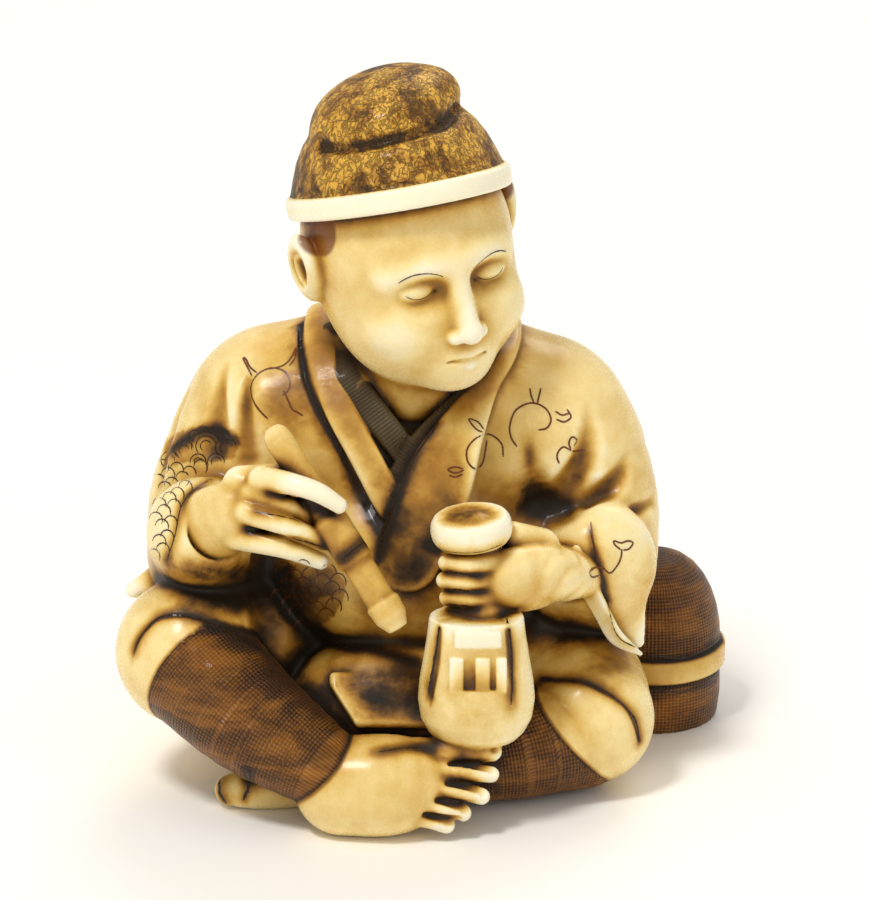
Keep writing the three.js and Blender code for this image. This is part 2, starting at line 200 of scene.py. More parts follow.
def smoothMin(a, b, blend):
    if blend <= 0:
        return np.minimum(a, b)
    h = np.maximum(blend - np.abs(a - b), 0) / blend
    return np.minimum(a, b) - h * h * blend / 4


class Clay:  # a box of grid samples, or a list of points, that zones are evaluated on
    far = 1.6

    def __init__(self, low, high, voxel):
        self.low, self.voxel = low, voxel
        self.axes = [np.arange(a, b, voxel, dtype=np.float32) for a, b in zip(low, high)]
        self.shape = tuple(len(axis) for axis in self.axes)

    def block(self, form, margin):
        start = np.maximum(((form["low"] - margin - self.low) / self.voxel).astype(int), 0)
        stop = np.minimum(((form["high"] + margin - self.low) / self.voxel).astype(int) + 2, self.shape)
        return tuple(slice(a, max(a, b)) for a, b in zip(start, stop))

    def samples(self, block):
        x, y, z = (axis[cut] for axis, cut in zip(self.axes, block))
        return x[:, None, None], y[None, :, None], z[None, None, :]


class Points(Clay):
    def __init__(self, points):
        self.points = points
        self.shape = (len(points),)

    def block(self, form, margin):
        inside = np.all((self.points > form["low"] - margin) & (self.points < form["high"] + margin),
            axis=1)
        return np.nonzero(inside)[0]

    def samples(self, block):
        return tuple(self.points[block].T)


def add(form, blend=0.3):
    return (1, form, blend)


def cut(form, blend=0.2):
    return (-1, form, blend)


def shaped(clay, steps):  # runs a zone's forms together and takes its cuts out, in the order given
    field = np.full(clay.shape, Clay.far, np.float32)
    for sign, form, blend in steps:
        block = clay.block(form, blend + 0.5)
        here = form["field"](*clay.samples(block)).astype(np.float32)
        field[block] = sign * smoothMin(sign * field[block], here, blend)
    return field


# The figure's zones, in millimetres, front towards -y.

sides = (-1, 1)

headPlan = {
    "centre": (-0.4, -1.3, 26.2),
    "turn": (5, -7, 28),  # bowed, leaning, turned to its left
    "eyeLevel": 0.75, "eyeSpacing": 1.9, "noseBase": -1.8, "mouthLevel": -2.95,
}


def headZone(plan):
    place = (turned(*plan["turn"]), np.array(plan["centre"]))
    eye, nose, mouth, apart = plan["eyeLevel"], plan["noseBase"], plan["mouthLevel"], plan["eyeSpacing"]

    def inHead(form, *values, **options):
        return form(*values, place=place, **options)

    steps = [
        add(inHead(ball, (0, 0.2, 1.2), (5.1, 5.45, 5.5))),
        add(inHead(ball, (0, -1.6, -1.8), (4.45, 4.1, 3.8)), 1.4),
        add(inHead(ball, (0, -4.2, -4.0), (1.6, 1.3, 1.1)), 1.0),  # chin
        add(inHead(limb, [(-3.0, -3.9, 1.5, 0.5), (-1.2, -4.75, 1.85, 0.55), (1.2, -4.75, 1.85, 0.55),
            (3.0, -3.9, 1.5, 0.5)]), 1.0),
        add(inHead(ball, (0, -4.75, mouth - 0.05), (1.7, 0.95, 1.0)), 0.8),  # the mouth's mound
    ]
    for s in sides:
        x = s * apart
        steps += [
            add(inHead(ball, (2.4 * s, -4.0, -1.4), (1.4, 1.1, 1.25)), 1.2),  # cheek
            cut(inHead(ball, (x, -5.5, eye + 0.05), (1.35, 0.78, 0.72)), 0.8),  # socket
            add(inHead(ball, (x, -4.3, eye), (1.05, 0.68, 0.6)), 0.12),  # closed eye
            cut(inHead(limb, [(x - 0.95, -4.75, eye - 0.1, 0.06), (x, -5.02, eye - 0.36, 0.08),
                (x + 0.95, -4.75, eye - 0.1, 0.06)]), 0.05),
        ]
    steps += [
        add(inHead(limb, [(0, -5.0, 1.4, 0.42), (0, -5.55, 0.1, 0.44), (0, -6.0, nose + 0.6, 0.56)]),
            0.6),  # nose
        add(inHead(ball, (0, -6.1, nose + 0.35), (0.66, 0.62, 0.55)), 0.25),
    ]
    for s in sides:
        steps += [
            add(inHead(ball, (0.64 * s, -5.7, nose + 0.2), (0.44, 0.52, 0.4)), 0.2),
            cut(inHead(ball, (0.36 * s, -6.15, nose - 0.2), (0.17, 0.27, 0.2)), 0.1),
            add(inHead(limb, [(1.15 * s, -5.4, mouth + 0.1, 0.14), (0.4 * s, -5.68, mouth + 0.28, 0.22),
                (0, -5.72, mouth + 0.22, 0.2)]), 0.15),
            add(inHead(limb, [(0.95 * s, -5.4, mouth - 0.22, 0.16), (0, -5.62, mouth - 0.32, 0.3)]), 0.15),
        ]
    steps.append(cut(inHead(limb, [(-1.3, -5.45, mouth + 0.07, 0.06), (0, -5.95, mouth, 0.1),
        (1.3, -5.45, mouth + 0.07, 0.06)]), 0.08))
    for s in sides:
        steps += [
            add(inHead(ball, (5.3 * s, 0.6, 0.9), (0.7, 1.25, 2.0), turn=(12, 12 * s, 0)), 0.35),
            cut(inHead(ball, (5.95 * s, 0.3, 1.15), (0.4, 0.72, 1.25), turn=(12, 12 * s, 0)), 0.25),
            add(inHead(ball, (5.15 * s, -0.25, 0.7), (0.4, 0.35, 0.5)), 0.25),  # tragus
            add(inHead(limb, [(5.7 * s, -0.05, 2.0, 0.1), (5.72 * s, 0.62, 1.5, 0.16),
                (5.62 * s, 0.55, 0.6, 0.16), (5.55 * s, 0.1, 0.1, 0.1)]), 0.12),
        ]
    steps += [
        add(limb([(0.3, 1.5, 19.0, 3.3), (-0.1, -0.7, 23.2, 2.9)]), 0.9),
        add(ball((-0.1, -1.6, 20.0), (2.9, 1.9, 2.5)), 0.8),  # the throat
    ]
    return steps


capPlan = {
    "tilt": (-21, 4, 0), "centre": (-0.05, 0.5, 3.6),  # in the head's frame
    "bandRadius": 5.45, "bandHeight": 1.08, "oval": 1.08,
    "crease": [(-4.6, -3.4, 32.7), (-3.5, -4.5, 32.9), (-2.1, -5.0, 33.3), (-0.5, -4.9, 33.7),
        (1.3, -3.8, 33.9), (2.0, -1.6, 34.2)],  # under the top that flops over
}


def capZones(plan, head):
    headPlace = (turned(*head["turn"]), np.array(head["centre"]))
    place = (headPlace[0] @ turned(*plan["tilt"]), moved(headPlace, plan["centre"]))
    wide, half = plan["bandRadius"], plan["bandHeight"] / 2
    crown = [(0, 0), (5.1, 0), (5.18, 0.6), (4.95, 1.3), (4.65, 2.1), (4.2, 2.9), (3.5, 3.7), (2.4, 4.3),
        (0, 4.5)]
    steps = [
        add(lathe(crown, oval=plan["oval"], place=place)),
        add(ball((-0.15, 1.5, 7.65), (3.55, 3.6, 1.8), turn=(-12, -10, 0), place=headPlace), 0.6),
        add(ball((2.2, 0.7, 8.1), (1.35, 1.7, 1.1), turn=(0, -20, 0), place=headPlace),
            0.4),  # the tip that turns up
        cut(limb([(*spot, 0.18) for spot in plan["crease"]]), 0.5),
    ]
    edge = [(0, -half), (wide - 0.12, -half), (wide, -half + 0.12), (wide + 0.02, 0), (wide, half - 0.12),
        (wide - 0.12, half), (0, half)]
    return steps, [add(lathe(edge, oval=plan["oval"], place=place))]


robePlan = {
    "fall": [(0, -0.5), (9.4, -0.5), (10.1, 1.0), (10.4, 2.4), (10.2, 5), (9.3, 8.5), (9.1, 13),
        (8.3, 17), (6.6, 20), (4.2, 21.6), (0, 22.4)],
    "middle": (-0.8, 3.4, 0), "oval": 0.74, "lean": -0.09,
    "foldDepth": 1.0,  # 0 smooths the cloth, 1 is as carved
}


def robeZone(plan):
    deep = plan["foldDepth"]
    steps = [
        add(lathe(plan["fall"], plan["oval"], plan["lean"], (np.eye(3), np.array(plan["middle"])))),
        add(limb([(-6.7, 1.5, 16.8, 5.0), (0, 1.4, 17.6, 5.2), (5.7, 1.5, 16.3, 5.0)]), 1.2),
        add(limb([(-8.3, 1.2, 14.8, 4.4), (-9.5, 0.3, 12.8, 3.9), (-10.0, -1.0, 10.8, 3.3)]), 0.8),
        add(limb([(7.0, 1.2, 14.4, 4.6), (8.0, 0.4, 12.2, 4.0), (8.4, -1.2, 9.8, 3.2)]), 0.8),
        add(limb([(-10.0, -1.0, 11.0, 3.2), (-10.6, -4.6, 13.3, 2.7)]), 0.8),
        add(limb([(8.7, -1.2, 10.8, 2.9), (8.5, -3.4, 11.8, 2.3)]), 0.8),
        add(limb([(-11.0, 0.4, 10.0, 1.6), (-14.0, -0.4, 8.7, 0.6)], thin=0.7), 0.5),
        add(ball((-1.0, -1.8, 11.0), (6.6, 4.9, 5.0)), 0.9),
        add(ball((-1.4, -5.0, 4.6), (5.0, 3.6, 3.4)), 0.5),
        add(limb([(-4.5, 2.0, 5.2, 4.3), (-8.8, -1.8, 6.6, 4.1), (-11.2, -4.8, 7.1, 3.7)]), 0.5),  # thighs
        add(limb([(4.5, 2.0, 5.0, 4.2), (7.4, -2.0, 4.3, 3.7), (8.4, -4.6, 3.5, 3.3)]), 0.5),
    ]
    folds = [
        [(-9.6, -0.6, 20.6, 0.05), (-9.9, -2.0, 18.6, 0.5), (-10.1, -3.0, 17.2, 0.9)],  # over the elbow
        [(-8.3, -1.8, 20.2, 0.05), (-8.5, -2.9, 18.4, 0.4), (-8.5, -3.6, 16.9, 0.75)],
        [(-11.6, 1.0, 18.6, 0.05), (-12.6, 0.4, 16.4, 0.4), (-13.0, -1.0, 14.6, 0.3)],
        [(5.2, -3.7, 18.2, 0.05), (5.6, -3.9, 16.2, 0.5), (6.1, -3.6, 14.2, 1.1)],  # over the left elbow
        [(8.5, -2.2, 18.8, 0.1), (8.3, -3.0, 16.6, 0.7), (7.2, -3.6, 14.4, 1.1)],
        [(10.8, -1.4, 16.6, 0.05), (9.8, -2.4, 15.2, 0.5), (8.4, -3.2, 14.2, 0.7)],
        [(8.6, -3.8, 13.6, 0.45), (10.2, -2.8, 13.5, 0.4), (11.6, -0.9, 13.5, 0.1)],
        [(-6.6, -6.4, 8.0, 0.5), (-2.8, -7.9, 7.6, 0.55), (1.0, -7.6, 7.4, 0.5)],  # under the belly
        [(-7.4, -4.6, 12.2, 0.8), (-6.8, -6.2, 8.6, 1.3)],
        [(-4.4, 7.8, 16.0, 0.1), (-5.6, 8.2, 12.0, 0.45), (-6.6, 8.6, 7.0, 0.55),  # down the back
            (-7.0, 9.4, 2.0, 0.3)],
        [(3.0, 7.5, 17.0, 0.1), (3.9, 8.3, 12.0, 0.45), (4.8, 8.7, 7.0, 0.55), (5.2, 9.5, 2.0, 0.3)],
        [(-0.9, 9.1, 13.0, 0.1), (-1.0, 9.5, 10.0, 0.35), (-0.8, 9.7, 8.0, 0.1)],
        [(-7.6, 6.0, 19.0, 0.1), (-5.6, 7.3, 16.8, 0.45), (-2.6, 8.3, 15.6, 0.1)],  # between the shoulders
        [(6.4, 6.0, 18.6, 0.1), (4.4, 7.1, 17.0, 0.45), (1.8, 8.1, 16.0, 0.1)],
        [(-10.2, 4.5, 12.4, 0.1), (-8.6, 6.0, 11.2, 0.4), (-6.6, 7.9, 10.6, 0.1)],
        [(9.6, 4.6, 12.6, 0.1), (7.6, 5.4, 11.4, 0.4), (5.4, 7.6, 11.0, 0.1)],
    ]
    steps += [cut(limb([(x, y, z, r * deep) for x, y, z, r in path]), 0.5) for path in folds]
    steps += [
        cut(limb([(-10.1, -4.2, 13.4, 1.55), (-9.3, -8.6, 15.0, 1.6)]), 0.1),  # sleeve mouths
        cut(limb([(7.6, -4.2, 11.0, 1.7), (5.6, -9.0, 11.4, 2.4)]), 0.15),
        cut(ball((-0.2, -3.8, 20.1), (2.8, 1.3, 2.1)), 0.3),  # the open neck
        add(ball((9.3, -3.6, 11.3), (2.45, 1.9, 2.9)), 0.9),  # left sleeve's panel
        add(limb([(9.2, -4.0, 10.6, 1.8), (10.0, -3.9, 8.9, 1.2), (10.8, -3.9, 7.3, 0.4)], thin=0.5,
            up=(-0.2, -0.9, 0.2)), 0.5),
        cut(limb([(8.7, -5.2, 14.2, 0.1), (10.1, -4.6, 14.3, 0.3), (11.6, -2.8, 14.4, 0.1)]), 0.25),
    ]
    creases = [  # hems at the knees, and beside the lapel
        [(-14.0, -7.2, 7.3), (-13.6, -7.1, 8.7), (-12.8, -7.0, 9.6), (-12.0, -7.1, 9.9),
            (-11.1, -7.2, 9.9), (-10.3, -7.3, 9.7), (-8.9, -7.4, 8.9)],
        [(6.1, -5.5, 5.9), (7.0, -6.1, 6.1), (8.0, -6.5, 6.2), (9.3, -6.9, 5.7), (10.2, -6.9, 5.0),
            (10.7, -6.9, 4.0), (10.9, -6.7, 3.1)],
        [(-5.8, 1.0, 22.1), (-5.7, -1.6, 21.1), (-5.1, -3.1, 19.5), (-4.1, -3.9, 17.9),
            (-3.4, -4.1, 16.5), (-2.5, -4.8, 14.8)],
    ]
    steps += [cut(limb([(*spot, 0.1) for spot in crease]), 0.12) for crease in creases]
    return steps


collarPlan = {"width": 1.5, "thickness": 0.7, "edge": 0.2}


def collarZones(plan):
    def band(rows, half=plan["width"] / 2, deep=plan["thickness"] / 2):
        # a row is a place, an up and, where it differs, a half width
        stations = [(*spot, wide[0] if wide else half, *up) for spot, up, *wide in rows]
        widest = max(station[3] for station in stations)
        return limb(stations, thin=deep / widest, flat=plan["edge"], steps=12)

    nape, corner, bend, front = (0, 0.8, 0.6), (-0.05, 0.0, 1.0), (-0.2, -0.45, 0.87), (-0.1, -0.8, 0.55)
    bendLeft, frontLeft, low = (0.2, -0.45, 0.87), (0.15, -0.8, 0.55), (-0.1, -0.9, 0.4)
    right = [
        ((0, 4.4, 21.6), nape), ((-4.0, 3.3, 22.1), corner), ((-4.8, 1.2, 22.3), corner),
        ((-4.7, -1.5, 21.2), bend), ((-3.9, -3.3, 19.4), front), ((-2.6, -4.6, 17.3), front),
        ((-1.7, -5.3, 15.7), front), ((-1.2, -5.3, 14.8), front),
    ]
    left = [
        ((0, 4.4, 21.6), nape), ((4.0, 3.1, 21.8), corner), ((4.5, 0.8, 21.7), corner),
        ((4.2, -1.3, 21.3), bendLeft), ((3.6, -2.6, 20.4), frontLeft, 0.45), ((2.9, -3.5, 19.4), frontLeft, 0.2),
    ]
    leftFront = [
        ((4.0, -2.0, 21.1), frontLeft, 0.5), ((3.1, -3.2, 19.9), frontLeft, 0.7), ((2.0, -4.5, 18.3), low, 1.2),
        ((1.1, -5.2, 16.4), low, 1.65), ((0.3, -5.9, 14.3), low, 1.75), ((-0.5, -6.2, 12.5), low, 1.6),
    ]
    outer = [add(band(right)), add(band(left, 0.6), 0.05), add(band(leftFront, deep=0.45), 0.05)]
    inner = [((-4.1, -0.2, 22.0), bend), ((-3.6, -2.1, 20.9), bend), ((-2.7, -3.1, 19.8), front),
        ((-1.6, -3.9, 18.5), front), ((-0.7, -4.2, 17.4), front)]
    innerLeft = [
        ((3.7, -1.2, 21.2), bendLeft), ((2.7, -2.8, 20.1), frontLeft), ((1.5, -3.6, 19.0), low),
        ((0.3, -4.1, 17.9), low), ((-0.5, -4.6, 16.8), low), ((-1.2, -5.2, 15.8), low),
    ]
    return outer, [add(band(inner, 0.7)), add(band(innerLeft, 0.6), 0.05)]


trimPlan = {"stripWidths": (0.25, 0.5, 0.46, 0.42, 0.16)}


def trimZone(plan):
    strip = [(7.75, -5.7, 12.8), (8.2, -5.9, 11.3), (9.1, -5.3, 9.2), (9.8, -4.8, 7.8), (11.0, -4.2, 6.7)]
    return [
        add(slab((-1.6, -8.0, 5.8), (5.4, 0.6, 2.9), 0.25, (-48, 3, 6)), 0.2),  # flap on the lap
        cut(slab((-5.0, -9.5, 5.9), (3, 3, 6), 0.1, (-48, -31, 0)), 0.1),  # its slanting edge
        add(limb([(*spot, r) for spot, r in zip(strip, plan["stripWidths"])], thin=0.36,
            up=(-0.5, -0.8, 0.3), flat=0.1, steps=8), 0.1),
    ]


rightShin = [(-11.2, -5.6, 7.0, 3.2), (-8.2, -8.2, 5.0, 2.8), (-4.8, -10.0, 3.2, 2.1)]
leftShin = [(7.8, -5.2, 3.0, 2.9), (3.5, -7.0, 2.5, 2.3), (-3.0, -6.8, 1.7, 1.6)]


def leggingZone():
    return [add(limb(rightShin)), add(limb(leftShin))]


footPlan = {
    "toes": [
        [(0.1, -10.2, 3.9, 0.8), (2.1, -10.5, 4.1, 0.6), (3.6, -10.4, 4.1, 0.5)],
        [(0.1, -10.7, 3.3, 0.72), (2.1, -11.1, 3.35, 0.5), (3.55, -11.0, 3.15, 0.42)],
        [(-0.1, -11.0, 2.7, 0.7), (1.8, -11.5, 2.55, 0.5), (3.1, -11.4, 2.15, 0.42)],
        [(-0.4, -11.2, 2.1, 0.7), (1.1, -11.8, 1.85, 0.5), (2.2, -11.7, 1.4, 0.42)],
        [(-0.6, -11.3, 1.4, 0.7), (0.6, -11.8, 1.15, 0.5), (1.4, -11.8, 0.8, 0.42)],
    ],
}


def footZone(plan):
    steps = [add(limb([(-3.6, -10.4, 2.3, 2.45), (-1.6, -10.6, 2.4, 2.5), (-0.4, -10.5, 2.5, 2.2)],
        thin=0.85, up=(0, -0.86, 0.5)))]
    steps += [add(limb(toe), 0.15) for toe in plan["toes"]]
    for toe in plan["toes"]:
        x, y, z, r = toe[-1]
        steps.append(cut(ball((x + 0.3 * r, y - 0.75 * r, z + 0.5 * r), (0.5 * r, 0.35 * r, 0.4 * r)),
            0.05))  # nail
    for a, b in zip(plan["toes"][:-1], plan["toes"][1:]):
        spots = []
        for i, ahead, r in ((1, -0.5, 0.16), (2, 0.1, 0.34)):
            x, y, z = ((a[i][k] + b[i][k]) / 2 for k in range(3))
            spots.append((x + ahead, y - 0.4, z, r))
        steps.append(cut(limb(spots), 0.12))
    steps.append(add(limb([(-3.0, -6.8, 1.4, 1.4), (-7.4, -7.5, 1.1, 1.2),  # left foot
        (-9.2, -7.6, 0.9, 0.8)])))
    return steps


def handZones():
    up = (-0.6, -0.8, 0)
    right = [add(limb([(-10.0, -1.6, 12.0, 1.7), (-10.3, -5.4, 13.9, 1.7), (-9.4, -6.7, 14.9, 1.65),
        (-8.3, -7.1, 15.5, 1.4)], thin=0.75, up=up))]
    fingers = [
        [(-7.5, -7.5, 17.1, 0.7), (-6.1, -8.6, 17.3, 0.54), (-4.8, -9.0, 17.0, 0.5),
            (-3.8, -8.9, 16.3, 0.42)],
        [(-8.0, -7.5, 16.4, 0.6), (-6.4, -8.1, 16.1, 0.46), (-4.8, -7.8, 15.1, 0.4)],
        [(-8.3, -7.9, 15.6, 0.62), (-6.4, -8.8, 15.25, 0.5), (-4.5, -8.4, 14.2, 0.4)],
        [(-8.7, -7.5, 14.2, 0.7), (-6.4, -8.5, 13.95, 0.52), (-4.7, -8.3, 13.2, 0.42)],
    ]
    right += [add(limb(finger), 0.2) for finger in fingers]
    right.append(cut(limb([(-7.2, -8.9, 16.75, 0.08), (-5.6, -9.2, 16.55, 0.2),
        (-4.2, -9.0, 15.9, 0.22)]), 0.1))
    right.append(cut(limb([(-7.6, -8.9, 14.75, 0.08), (-5.8, -9.2, 14.6, 0.2), (-4.4, -8.9, 13.8, 0.22)]),
        0.1))
    right.append(add(limb([(-8.6, -6.6, 16.6, 0.85), (-6.2, -6.6, 16.9, 0.7)]), 0.3))
    right.append(add(limb([(-10.3, -4.6, 13.5, 1.56), (-9.75, -5.8, 13.95, 1.56)]),
        0.35))  # the heel of the hand, close in its cuff
    left = [add(limb([(8.4, -3.4, 11.0, 1.7), (6.2, -7.2, 12.0, 1.85), (4.6, -8.6, 12.4, 1.75)],
        thin=0.72, up=(-0.5, -0.85, 0)))]
    levels = (13.5, 12.6, 11.7, 10.95)
    for i, level in enumerate(levels):
        x = 1.4 + (0, -0.1, 0.05, 0.6)[i]
        left.append(add(limb([(4.0, -9.0, level, 0.55), (x + 1.1, -9.85, level + 0.15, 0.47),
            (x, -9.2, level - 0.05, 0.42)]), 0.2))
    for a, b in zip(levels[:-1], levels[1:]):
        left.append(cut(limb([(3.3, -10.4, (a + b) / 2 + 0.1, 0.06),
            (2.4, -10.5, (a + b) / 2 + 0.12, 0.2), (1.1, -9.9, (a + b) / 2, 0.26)]), 0.1))
    left.append(add(limb([(6.0, -6.8, 13.4, 0.9), (4.6, -7.6, 14.2, 0.75)]), 0.3))
    return right, left


rodPlan = {"top": (-7.1, -6.6, 19.5), "tip": (-0.9, -10.2, 10.4), "length": 11.6, "radius": 0.88}


def rodZone(plan):
    top = np.array(plan["top"])
    along = np.array(plan["tip"]) - top
    along /= np.linalg.norm(along)
    side = np.cross(along, (0, 0, 1))
    side /= np.linalg.norm(side)
    place = (np.column_stack([side, np.cross(-along, side), -along]), top)
    outline = [(0, 0), (0.42, 0.005), (0.7, 0.03), (0.8, 0.07), (0.76, 0.2), (0.78, 0.4), (0.84, 0.415),
        (0.8, 0.43), (1, 0.46), (0.98, 0.56), (1, 0.66),
               (0.86, 0.675), (0.84, 0.76), (0.82, 0.855), (0.98, 0.87), (0.92, 0.94), (0.55, 0.995),
               (0, 1)]
    return [add(lathe([(r * plan["radius"], -t * plan["length"]) for r, t in outline], place=place))]


rattlePlan = {"foot": (2.85, -9.6, 4.3), "width": 5.7, "depth": 4.2, "height": 6.6, "knobRadius": 2.0,
    "knobHeight": 1.35}


def rattleZone(plan):
    x0, y0, z0 = plan["foot"]
    wide, deep, tall = plan["width"], plan["depth"], plan["height"]

    def block(x, z, w, h, depth):  # let into the front; shares of the body's sizes
        return slab((x0 + x * wide, y0 - (1 - depth) * deep, z0 + z * tall), (w * wide, deep, h * tall))

    outline = [(0, 0), (0.5, 0), (0.68, 0.03), (0.82, 0.09), (0.95, 0.2), (1, 0.35), (0.97, 0.5),
        (0.9, 0.68), (0.84, 0.85), (0.8, 1), (0, 1)]
    steps = [
        add(lathe([(r * wide / 2, t * tall) for r, t in outline], oval=deep / wide,
            place=(np.eye(3), np.array(plan["foot"])))),
        cut(block(0.01, 0.69, 0.52, 0.35, 0.1), 0.05),
        cut(block(0.01, 0.9, 0.44, 0.12, 0.1), 0.05),
        add(slab((x0 + 0.01 * wide, y0 - 0.3 * deep, z0 + 0.9 * tall),  # lintel
            (0.4 * wide, 0.24 * deep, 0.13 * tall)), 0.03),
    ]
    for x, w in ((-0.17, 0.12), (0.05, 0.12), (0.21, 0.09)):
        tooth = slab((x0 + x * wide, y0 - 0.36 * deep, z0 + 0.63 * tall),
            (w * wide, 0.17 * deep, 0.27 * tall))
        steps.append(add(tooth, 0.04))
    grooves = [
        [(-0.34, 0.26, 0.95, 0.25), (-0.36, 0.31, 0.7, 0.28), (-0.4, 0.3, 0.36, 0.1)],
        [(0.28, 0.32, 0.95, 0.25), (0.31, 0.37, 0.7, 0.28), (0.33, 0.41, 0.36, 0.1)],
    ]
    for groove in grooves:
        steps.append(cut(limb([(x0 + x * wide, y0 - y * deep, z0 + z * tall, r) for x, y, z,
            r in groove]), 0.08))
    radius, half = plan["knobRadius"], plan["knobHeight"] / 2
    knob = [(0, -half), (0.86 * radius, -half), (0.96 * radius, -0.6 * half), (radius, 0),
        (0.97 * radius, 0.6 * half), (0.88 * radius, half), (0, 0.86 * half)]
    steps += [
        add(limb([(2.8, -8.6, 9.5, 1.3), (2.7, -8.5, 14.6, 1.3)]), 0.2),
        add(lathe(knob, place=(turned(2, -5, 0), np.array([2.6, -8.6, 15.0]))), 0.2),
    ]
    return steps


bundlePlan = {"centre": (11.9, 4.9, 0), "radius": 3.7, "height": 8.7, "bandHeight": 1.35, "bandLevel": 2.7}


def bundleZones(plan):
    place = (np.eye(3), np.array(plan["centre"]))
    radius, low = plan["radius"], plan["bandLevel"]
    top = low + plan["bandHeight"]
    inner = 0.93 * radius
    outline = [(0, -0.4), (0.84 * radius, -0.4), (0.9 * radius, 0.25), (inner, 1.2), (inner, top)]
    for a in np.linspace(0, math.pi / 2, 9)[1:]:  # the domed top
        outline.append((inner * max(math.cos(a), 0) ** 0.8, top + (plan["height"] - top) * math.sin(a)))
    ribbon = [(0, low), (inner, low), (radius, low + 0.15), (radius, top - 0.15), (inner, top), (0, top)]
    tie = limb([(10.9, 3.4, 7.8, 0.8), (11.5, 3.0, 10.6, 0.5)])
    return [add(lathe(outline, place=place))], [add(lathe(ribbon, place=place)), add(tie)]


def figureZones():
    rightHand, leftHand = handZones()
    cap, capBand = capZones(capPlan, headPlan)
    lapels, darkCollar = collarZones(collarPlan)
    bundle, bundleBand = bundleZones(bundlePlan)
    return {
        "robe": robeZone(robePlan), "darkCollar": darkCollar, "lapels": lapels,
        "trim": trimZone(trimPlan), "leggings": leggingZone(), "bundle": bundle, "bundleBand": bundleBand,
        "head": headZone(headPlan), "cap": cap, "capBand": capBand, "foot": footZone(footPlan),
        "rightHand": rightHand, "leftHand": leftHand, "rod": rodZone(rodPlan),
        "rattle": rattleZone(rattlePlan),
    }


clayPlan = {
    "voxel": 0.1,
    "seamAndGapLine": 0.12,  # how softly one zone runs into the next
    "triangles": 182000,
    "cordBend": (-0.8, 10.7, 5.6), "cordSpacing": 6.4, "cordRadius": 1.25,  # the channel through the back
}


def carve(plan, zones):
    low, high = (np.array(corner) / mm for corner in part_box("netsuke"))
    clay = Clay(low - 0.6, high + 0.6, plan["voxel"])
    whole = np.full(clay.shape, Clay.far, np.float32)
    for steps in zones.values():
        whole = smoothMin(whole, shaped(clay, steps), plan["seamAndGapLine"])
    channel = ring(plan["cordBend"], (0, 0, 1), plan["cordSpacing"] / 2, plan["cordRadius"])
    block = clay.block(channel, 0.5)
    whole[block] = -smoothMin(-whole[block], channel["field"](*clay.samples(block)).astype(np.float32),
        0.25)
    whole = np.maximum(whole, -clay.axes[2][None, None, :])  # ground flat underneath
    return clay, whole


def sampled(clay, values, points, step=1):  # trilinear
    spot = (points - clay.low) / (clay.voxel * step)
    spot = np.clip(spot, 0, np.array(values.shape) - 1.001)
    base = spot.astype(int)
    share = spot - base
    total = 0
    for corner in range(8):
        offset = np.array([(corner >> axis) & 1 for axis in range(3)])
        weight = np.prod(np.where(offset, share, 1 - share), axis=1)
        at = base + offset
        total = total + weight * values[at[:, 0], at[:, 1], at[:, 2]]
    return total


def skinned(clay, whole, plan):
    grid = openvdb.FloatGrid(background=1.0)
    grid.copyFromArray(np.clip(whole, -1, 1))
    points, quads = grid.convertToQuads(isovalue=0)
    points = points * clay.voxel + clay.low
    rough = bpy.data.meshes.new("rough")
    rough.from_pydata(points.tolist(), [], quads.tolist())
    holder = bpy.data.objects.new("rough", rough)
    bpy.context.collection.objects.link(holder)
    reduce = holder.modifiers.new("reduce", "DECIMATE")
    reduce.ratio = min(1, plan["triangles"] / (2 * len(quads)))
    reduced = holder.evaluated_get(bpy.context.evaluated_depsgraph_get()).to_mesh()
    reduced.calc_loop_triangles()
    points = np.empty(len(reduced.vertices) * 3)
    reduced.vertices.foreach_get("co", points)
    triangles = np.empty(len(reduced.loop_triangles) * 3, int)
    reduced.loop_triangles.foreach_get("vertices", triangles)
    bpy.data.objects.remove(holder)
    return outerSkin(points.reshape(-1, 3), triangles.reshape(-1, 3))


def outerSkin(points, triangles):  # a pocket sealed between forms isn't part of the carving
    label = np.arange(len(points))
    while True:
        least = label[triangles].min(axis=1)
        before = label.copy()
        for corner in range(3):
            np.minimum.at(label, triangles[:, corner], least)
        label = label[label]
        if (label == before).all():
            break
    kept = label == np.bincount(label).argmax()
    renumber = np.cumsum(kept) - 1
    return points[kept], renumber[triangles[kept[triangles[:, 0]]]]


def slopeNormals(clay, whole, points):
    reach = clay.voxel * 0.9
    normals = np.empty(points.shape)
    for axis in range(3):
        step = np.eye(3)[axis] * reach
        normals[:, axis] = sampled(clay, whole, points + step) - sampled(clay, whole, points - step)
    return normals / (np.linalg.norm(normals, axis=1)[:, None] + 1e-9)


def hollowness(clay, whole, points, reach,  # how shut in a place is: 0.5 on a flat, up to 1 in a pit
    step=2):
    solidity = np.clip(0.5 - whole[::step, ::step, ::step] / (2 * clay.voxel * step), 0, 1)
    half = max(1, round(reach / (clay.voxel * step)))
    for axis in (0, 1, 2, 0, 1, 2):
        width = [(0, 0)] * 3
        width[axis] = (half + 1, half)
        running = np.cumsum(np.pad(solidity, width, mode="edge"), axis=axis, dtype=np.float64)
        size = running.shape[axis]
        high = np.take(running, range(2 * half + 1, size), axis=axis)
        solidity = ((high - np.take(running, range(0, size - 2 * half - 1),
            axis=axis)) / (2 * half + 1)).astype(np.float32)
    return sampled(clay, solidity, points, step)


zones = figureZones()
clay, whole = carve(clayPlan, zones)
print("clay carved", clay.shape)
points, triangles = skinned(clay, whole, clayPlan)
normals = slopeNormals(clay, whole, points)
print("skin", len(points), "points", len(triangles), "triangles")

spots = Points(points)
closeness = {name: shaped(spots, steps) for name, steps in zones.items()}


